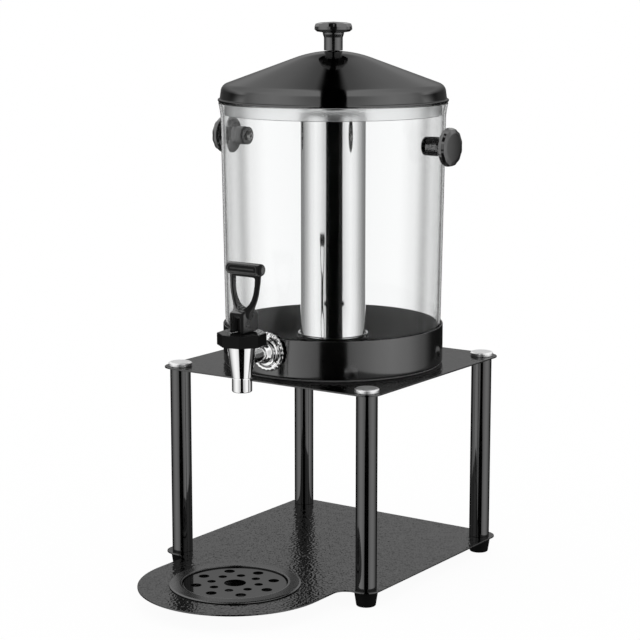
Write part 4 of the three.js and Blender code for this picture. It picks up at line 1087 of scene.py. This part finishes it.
class DISPENSER_OT_bonnet(DispenserOperator, bpy.types.Operator):
    """Makes the octagonal bonnet, the stem and its spring"""

    bl_idname = "dispenser.bonnet"
    bl_label = "Bonnet and stem"

    def execute(self, context):
        sizes = context.scene.dispenser_tap
        low, high = span("tap_bonnet")
        corner, edge = sizes.bonnet_corner / MM, sizes.bonnet_edge / MM
        turn = math.radians(8.6)
        spin = np.array([[math.cos(turn), math.sin(turn)], [-math.sin(turn), math.cos(turn)]])
        outline = rounded(polygon_corners(8, 43.5, corner)) @ spin
        outline[:, 1] += TAP_Y
        bonnet = plate("tap_bonnet_octagon", edge_rows(low[2], high[2], edge, 5), outline)
        drill(bonnet, 16.8, low[2] - 2, high[2] - 3, 0, TAP_Y, 96)
        drill(bonnet, STEM_HOLE, low[2] - 2, high[2] + 2, 0, TAP_Y)
        settle(bonnet)
        dress(bonnet, "black plastic", "tap_bonnet")

        low, high = span("tap_stem")
        half, shaft, collar, foot = 3.4, 3, 6.5, low[2]
        a = np.linspace(0, math.pi, 25)
        head = np.stack([half * np.cos(a), high[2] - half + half * np.sin(a)], 1)
        outline = np.vstack([[(-half, BONNET_Z + 0.6), (half, BONNET_Z + 0.6)], head])
        outline[:, 0] += TAP_Y
        pin_hole = ring_of(1.8, 32, TAP_Y, PIN_Z)
        stem = plate("tap_stem_tongue", edge_rows(-2.6, 2.6, 0.5), outline, [pin_hole], place=side_view)
        corners = [
            (0, foot), (shaft, foot, 0.3), (shaft, foot + 5, 0.1), (collar, foot + 5, 0.2),
            (collar, foot + 6.5, 0.2), (shaft, foot + 6.5, 0.1), (shaft, BONNET_Z + 1.2),
            (0, BONNET_Z + 1.2),
        ]
        combine(stem, turned("shaft", section(corners), 64, 0, TAP_Y), "UNION")
        settle(stem)
        dress(stem, "black plastic", "tap_stem")
        self.spring()
        return {"FINISHED"}

    def spring(self):
        """The stem's spring. A point after t turns stands at (radius cos 2 pi t, radius sin 2 pi t, rise of
        t), where the rise is 2.2 wire radii in the first and the last turn and even between."""
        radius, foot, top = round_size("tap_spring")
        thick, turns, around = 0.6, np.linspace(0, 6, 289), 16
        heights = [foot + thick, foot + 3.2 * thick, top - 3.2 * thick, top - thick]
        rise = np.interp(turns, [0, 1, 5, 6], heights)
        a = 2 * math.pi * turns
        outward = np.stack([np.cos(a), np.sin(a), 0 * a], 1)
        path = (radius - thick) * outward + np.stack([0 * a, 0 * a + TAP_Y, rise], 1)
        tube = wire(path, np.gradient(path, axis=0), outward, thick, around)
        ends = np.repeat(path[[0, -1], None], around, 1)
        spring = skin("tap_spring_wire", np.concatenate([ends[:1], tube, ends[1:]]))
        dress(spring, "zinc steel", "tap_spring")
        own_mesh(spring)


def loft(rows, steps, around=96):
    """Grid through level sections that follow each other upwards, closed by a point at each end.

    Each row is (height, half width, front, back, power). At angle a the section's point is x = half width
    times cos a and y = middle + half depth times sin a, both sharpened by the power 2 / power (a
    superellipse).
    """
    p = flow(rows, steps)
    a = np.arange(around) * 2 * math.pi / around
    across = np.sign(np.cos(a)) * np.abs(np.cos(a)) ** (2 / p[:, 4:5])
    deep = np.sign(np.sin(a)) * np.abs(np.sin(a)) ** (2 / p[:, 4:5])
    x = p[:, 1:2] * across
    y = (p[:, 2:3] + p[:, 3:4]) / 2 + (p[:, 3:4] - p[:, 2:3]) / 2 * deep
    grid = np.stack([x, y, p[:, 0:1] + np.zeros_like(x)], -1)
    ends = np.repeat(grid[[0, -1]].mean(1, keepdims=True), around, 1)
    return np.concatenate([ends[:1], grid, ends[1:]])


def gather(piece, others):
    """Adds the meshes of the others to the piece and removes them."""
    work = bmesh.new()
    for source in [piece] + others:
        work.from_mesh(source.data)
    work.to_mesh(piece.data)
    work.free()
    for other in others:
        remove(other)


def at_pin(points):
    """Moves a form drawn about the pin's middle to the pin."""
    return points + np.array([0, TAP_Y, PIN_Z])


def across_pin(points):
    """Turns a form drawn in plan about the pin into one drawn from the side, its height along the pin."""
    return at_pin(side_view(points))


def from_front(points):
    """Turns a form drawn in plan about the pin into one drawn from the front."""
    return at_pin(points[:, [0, 2, 1]])


class DISPENSER_OT_handle(DispenserOperator, bpy.types.Operator):
    """Makes the loop handle as one moulded form, with its beads and its pin"""

    bl_idname = "dispenser.handle"
    bl_label = "Handle"

    def execute(self, context):
        sizes = context.scene.dispenser_tap
        bar_y, bar_z, bar_radius, bar_end = 6.4, 45.5, 5.9, 20.4
        block = self.foot()
        loop = self.loop()
        corners = [(0, -bar_end), (bar_radius, -bar_end, 3), (bar_radius, bar_end, 3), (0, bar_end)]
        at_bar = np.array([0, bar_y, bar_z])
        bar = turned("bar", section(corners, 10), 96,
                     place=lambda points: at_pin(points[:, [2, 0, 1]] + at_bar))
        gather(block, [loop, bar])
        melt = block.modifiers.new("melt", "REMESH")
        melt.mode, melt.voxel_size, melt.use_smooth_shade = "VOXEL", sizes.handle_voxel, True
        soften = block.modifiers.new("soften", "SMOOTH")
        soften.factor, soften.iterations = 0.5, 8
        bake_modifiers(block)

        # The oval bead and the straight ridge inside it take a lighter finish, a painted highlight along the
        # bar's lines; the ridge stands where the bar shows a streak of light
        oval = rounded(
            [(-16.6, -3.7, 3.69), (16.6, -3.7, 3.69), (16.6, 3.7, 3.69), (-16.6, 3.7, 3.69)], steps=16
        )
        ridge = rounded(
            [(-13.5, 0.2, 0.29), (13.5, 0.2, 0.29), (13.5, 0.8, 0.29), (-13.5, 0.8, 0.29)], steps=8
        )
        beads, proud = [], 0.04
        for line in (oval, ridge):
            reach = np.sqrt(bar_radius ** 2 - line[:, 1] ** 2)
            outward = np.stack([np.zeros(len(line)), -reach / bar_radius, line[:, 1] / bar_radius], 1)
            path = at_pin(np.stack([line[:, 0], bar_y - reach, bar_z + line[:, 1]], 1) + outward * proud)
            tangent = np.roll(path, -1, 0) - np.roll(path, 1, 0)
            rings = wire(path, tangent, outward, sizes.handle_bead / MM, 10)
            beads.append(skin("tap_handle_beads", rings, True))
        gather(beads[0], beads[1:])
        dress(beads[0], "bead highlight plastic", "tap_handle", weighted=False)
        settle(block, 180, merge=False)
        dress(block, "handle plastic", "tap_handle", weighted=False)

        half, radius = 7.0, 1.5
        corners = [(0, -half), (radius, -half, 0.3), (radius, half, 0.3), (0, half)]
        lathe("tap_pin_rod", corners, "zinc steel", "tap_pin", 32, place=across_pin)
        return {"FINISHED"}

    def foot(self):
        """The handle's foot, drawn from the side, with a slot for the stem's tongue, drawn from the front."""
        rest = PIN_Z - float(span("tap_handle")[0][2])
        side = rounded(
            [
                (16.6, -rest, 4.4), (16.6, 4.6, 3.4), (12.0, 7.0, 2), (-5.2, 7.0, 2), (-9.4, 5.0, 2),
                (-9.4, -rest, 2),
            ],
            steps=8,
        )
        half, edge = 7.9, 1.7
        block = plate("tap_handle_moulded", edge_rows(-half, half, edge, 5), side, place=across_pin)
        half, top = 5.2, -1.9
        a = np.linspace(0, math.pi, 33)
        arch = np.vstack(
            [[(-half, -20.0), (half, -20.0)], np.stack([half * np.cos(a), top + half * np.sin(a)], 1)]
        )
        combine(block, plate("slot", np.array([[0, -30.0], [0, 6.0]]), arch, place=from_front))
        return block

    def loop(self):
        """The handle's loop: sections that widen upwards, with the gap under the bar cut out."""
        rows = [
            (-2.4, 7.6, 0.0, 5.0, 2.4), (-0.5, 8.5, -4.2, 8.6, 2.5), (2.0, 9.1, -6.4, 11.0, 2.7),
            (5.4, 9.8, -6.0, 11.8, 2.8), (8.8, 10.8, -2.2, 10.6, 3.0), (12.0, 12.4, 0.4, 9.3, 3.0),
            (16.5, 14.2, 1.6, 9.0, 3.0), (21.0, 15.5, 2.0, 9.0, 3.0), (26.0, 16.4, 2.2, 9.2, 3.0),
            (35.5, 17.4, 2.9, 9.9, 3.0), (45.0, 17.8, 3.2, 9.8, 3.0),
        ]
        loop = skin("loop", loft(rows, 97), place=at_pin)
        half = 12.7
        a = math.pi + np.linspace(0, math.pi, 65)
        bowl = np.stack([half * np.cos(a), 35.0 + 27.4 * np.sin(a), np.zeros_like(a)], 1)[1:-1].tolist()
        gap = rounded(
            [(-half, 38.2, 4.2), (-half, 34.0)] + bowl + [(half, 34.0), (half, 38.2, 4.2)], steps=10
        )
        combine(loop, plate("gap", np.array([[0, -30.0], [0, 30.0]]), gap, place=from_front))
        return loop


# Stage


class DISPENSER_OT_stage(DispenserOperator, bpy.types.Operator):
    """Makes the floor, the light and the camera"""

    bl_idname = "dispenser.stage"
    bl_label = "Stage"

    def execute(self, context):
        studio = context.scene.dispenser_studio
        lens = bpy.data.cameras.new("camera")
        lens.sensor_width, lens.lens, lens.clip_end = 36.0, studio.camera_lens, 50.0
        camera = bpy.data.objects.new("camera", lens)
        camera.location = studio.camera_place
        camera.rotation_euler = (studio.camera_tilt, 0.0, studio.camera_turn)
        context.scene.collection.objects.link(camera)
        context.scene.camera = camera
        context.scene.view_settings.view_transform = "Standard"
        self.floor(studio)
        self.world(context.scene, studio)
        return {"FINISHED"}

    def floor(self, studio):
        """A floor that is white to the camera but for a share of its shading, and clear to reflections."""
        half, level = 30000, -0.2
        corners = np.array([(-half, -half), (half, -half), (half, half), (-half, half)], float)
        floor = new_piece("floor", lift(corners, level), [(0, 1, 2, 3)])
        if floor.data.polygons[0].normal.z < 0:
            floor.data.flip_normals()
        made = bpy.data.materials.new("floor white")
        made.use_nodes = True
        tree = made.node_tree
        tree.nodes.remove(tree.nodes["Principled BSDF"])
        path = tree.nodes.new("ShaderNodeLightPath").outputs
        white = node(tree, "ShaderNodeEmission", Color=grey(1.0), Strength=1.0)
        matt = node(tree, "ShaderNodeBsdfDiffuse", Color=grey(1.0))
        shown = node(tree, "ShaderNodeMixShader", Fac=studio.shadow_share, i1=white.outputs[0],
                     i2=matt.outputs[0])
        clear = tree.nodes.new("ShaderNodeBsdfTransparent")
        passing = maths(tree, "MAXIMUM", path["Is Glossy Ray"], path["Is Transmission Ray"])
        mixed = node(tree, "ShaderNodeMixShader", Fac=passing, i1=shown.outputs[0], i2=clear.outputs[0])
        tree.links.new(mixed.outputs[0], tree.nodes["Material Output"].inputs["Surface"])
        floor.data.materials.append(made)

    def world(self, scene, studio):
        """A white room with a black flag in front of the object and darker sides, seen only in reflections
        and through the clear plastic.

        A direction is split into x, across the camera's line, y, towards the camera, and z. The flag covers
        the directions whose x is less than a half width that grows from the back to the front.
        """
        made = bpy.data.worlds.new("white room")
        made.use_nodes = True
        scene.world = made
        tree = made.node_tree
        plus, less = partial(maths, tree, "ADD"), partial(maths, tree, "SUBTRACT")
        times, most = partial(maths, tree, "MULTIPLY"), partial(maths, tree, "MAXIMUM")
        soft = partial(ease, tree)
        path = tree.nodes.new("ShaderNodeLightPath").outputs
        through = path["Is Transmission Ray"]
        apart = less(1.0, through)
        direction = tree.nodes.new("ShaderNodeTexCoord").outputs["Generated"]
        room = node(tree, "ShaderNodeVectorRotate", {"rotation_type": "Z_AXIS"}, Vector=direction,
                    Angle=-studio.camera_turn)
        across, away, z = node(tree, "ShaderNodeSeparateXYZ", Vector=room.outputs[0]).outputs
        x = maths(tree, "ABSOLUTE", maths(tree, "MULTIPLY_ADD", through, -0.055, across))
        y = times(away, -1.0)

        # The flag, wider below the horizon, at the horizon and for light through the clear plastic
        width = plus(soft(y, -1.0, 1.0, 0.008, studio.flag_width, "LINEAR"), soft(z, -0.1, -0.19, 0.0, 0.02))
        width = plus(width, soft(z, -0.215, -0.245, 0.0, 0.135))
        width = plus(width, times(soft(z, -0.05, -0.035), soft(z, 0.06, 0.02, 0.0, 0.105)))
        width = plus(width, times(through, 0.26))
        flag = times(soft(less(width, x), -0.015, 0.015), most(soft(y, -0.35, -0.2), soft(z, 0.33, 0.42)))

        # The sides, darker behind and nearest the camera, below the roof or seen through the clear plastic
        sides = node(tree, "ShaderNodeValToRGB", Fac=maths(tree, "MULTIPLY_ADD", y, 0.5, 0.5))
        levels = [
            (-1.0, 0.15), (-0.6, 0.25), (-0.22, 0.5), (0.1, 0.85), (0.45, 1.0), (0.7, 0.87), (0.92, 0.55),
            (1.0, 0.5),
        ]
        fill_ramp(sides.color_ramp, [((at + 1) / 2, level) for at, level in levels])
        inner = times(through, soft(y, -0.96, -0.88))
        lid_side = times(soft(z, 0.55, 0.3), soft(y, -0.35, -0.1))
        low = most(soft(z, 0.0, -0.1), times(soft(z, 0.16, 0.02), soft(y, -0.8, -0.5)))
        outer = times(apart, most(low, lid_side))
        fall = times(less(1.0, sides.outputs["Color"]), most(inner, outer))

        # The roof behind the object, dimmer beside the flag and far from it, and a dim horizon
        over = times(soft(z, 0.3, 0.45), soft(y, 0.1, -0.15))
        beside = times(soft(x, 0.04, 0.2, 0.55, 0.0), over)
        edge = times(soft(x, 0.25, 0.6, 0.0, 0.12), over)
        horizon = times(soft(y, -0.3, -0.6), soft(z, 0.4, 0.05, 0.0, 0.78))
        dim = times(most(most(beside, edge), horizon), apart)
        light = times(times(less(1.0, flag), less(1.0, dim)), less(1.0, fall))

        # Light that comes straight through the clear plastic sees a quarter of that darkness
        bounced = maths(tree, "GREATER_THAN", path["Glossy Depth"], 0.5)
        kept = maths(tree, "MULTIPLY_ADD", times(through, less(1.0, bounced)), -0.75, 1.0)
        light = less(1.0, times(less(1.0, light), kept))
        mirrored = most(path["Is Glossy Ray"], through)
        level = node(tree, "ShaderNodeMix", {"data_type": "FLOAT"}, i0=mirrored, i2=1.0, i3=light).outputs[0]
        tree.links.new(level, tree.nodes["Background"].inputs["Color"])


class DISPENSER_PT_panel(bpy.types.Panel):
    """Shows the sizes, the colours and the light, with a button for each group of pieces"""

    bl_idname = "DISPENSER_PT_panel"
    bl_label = "Juice dispenser"
    bl_space_type = "VIEW_3D"
    bl_region_type = "UI"
    bl_category = "Dispenser"

    def draw(self, context):
        for group in GROUPS:
            box = self.layout.box()
            settings = getattr(context.scene, group)
            box.label(text=settings.__class__.__doc__)
            for name in settings.__annotations__:
                box.prop(settings, name)
        for operator in OPERATORS:
            self.layout.operator(operator.bl_idname)


GROUPS = {
    "dispenser_stand": DISPENSER_stand_sizes,
    "dispenser_tank": DISPENSER_tank_sizes,
    "dispenser_lid": DISPENSER_lid_sizes,
    "dispenser_tap": DISPENSER_tap_sizes,
    "dispenser_finishes": DISPENSER_finishes,
    "dispenser_studio": DISPENSER_studio,
}
OPERATORS = (
    DISPENSER_OT_stage,
    DISPENSER_OT_finishes,
    DISPENSER_OT_plates,
    DISPENSER_OT_posts,
    DISPENSER_OT_drip,
    DISPENSER_OT_ring,
    DISPENSER_OT_tank,
    DISPENSER_OT_lid,
    DISPENSER_OT_knobs,
    DISPENSER_OT_tap_body,
    DISPENSER_OT_bonnet,
    DISPENSER_OT_handle,
)


def register():
    for name, group in GROUPS.items():
        bpy.utils.register_class(group)
        setattr(bpy.types.Scene, name, bpy.props.PointerProperty(type=group))
    for operator in OPERATORS:
        bpy.utils.register_class(operator)
    bpy.utils.register_class(DISPENSER_PT_panel)


def unregister():
    bpy.utils.unregister_class(DISPENSER_PT_panel)
    for operator in reversed(OPERATORS):
        bpy.utils.unregister_class(operator)
    for name, group in reversed(GROUPS.items()):
        delattr(bpy.types.Scene, name)
        bpy.utils.unregister_class(group)


def main():
    register()
    for operator in OPERATORS:
        category, name = operator.bl_idname.split(".")
        result = getattr(getattr(bpy.ops, category), name)()
        if result != {"FINISHED"}:
            raise RuntimeError(f"{operator.bl_idname} didn't finish")


if __name__ == "__main__":
    main()
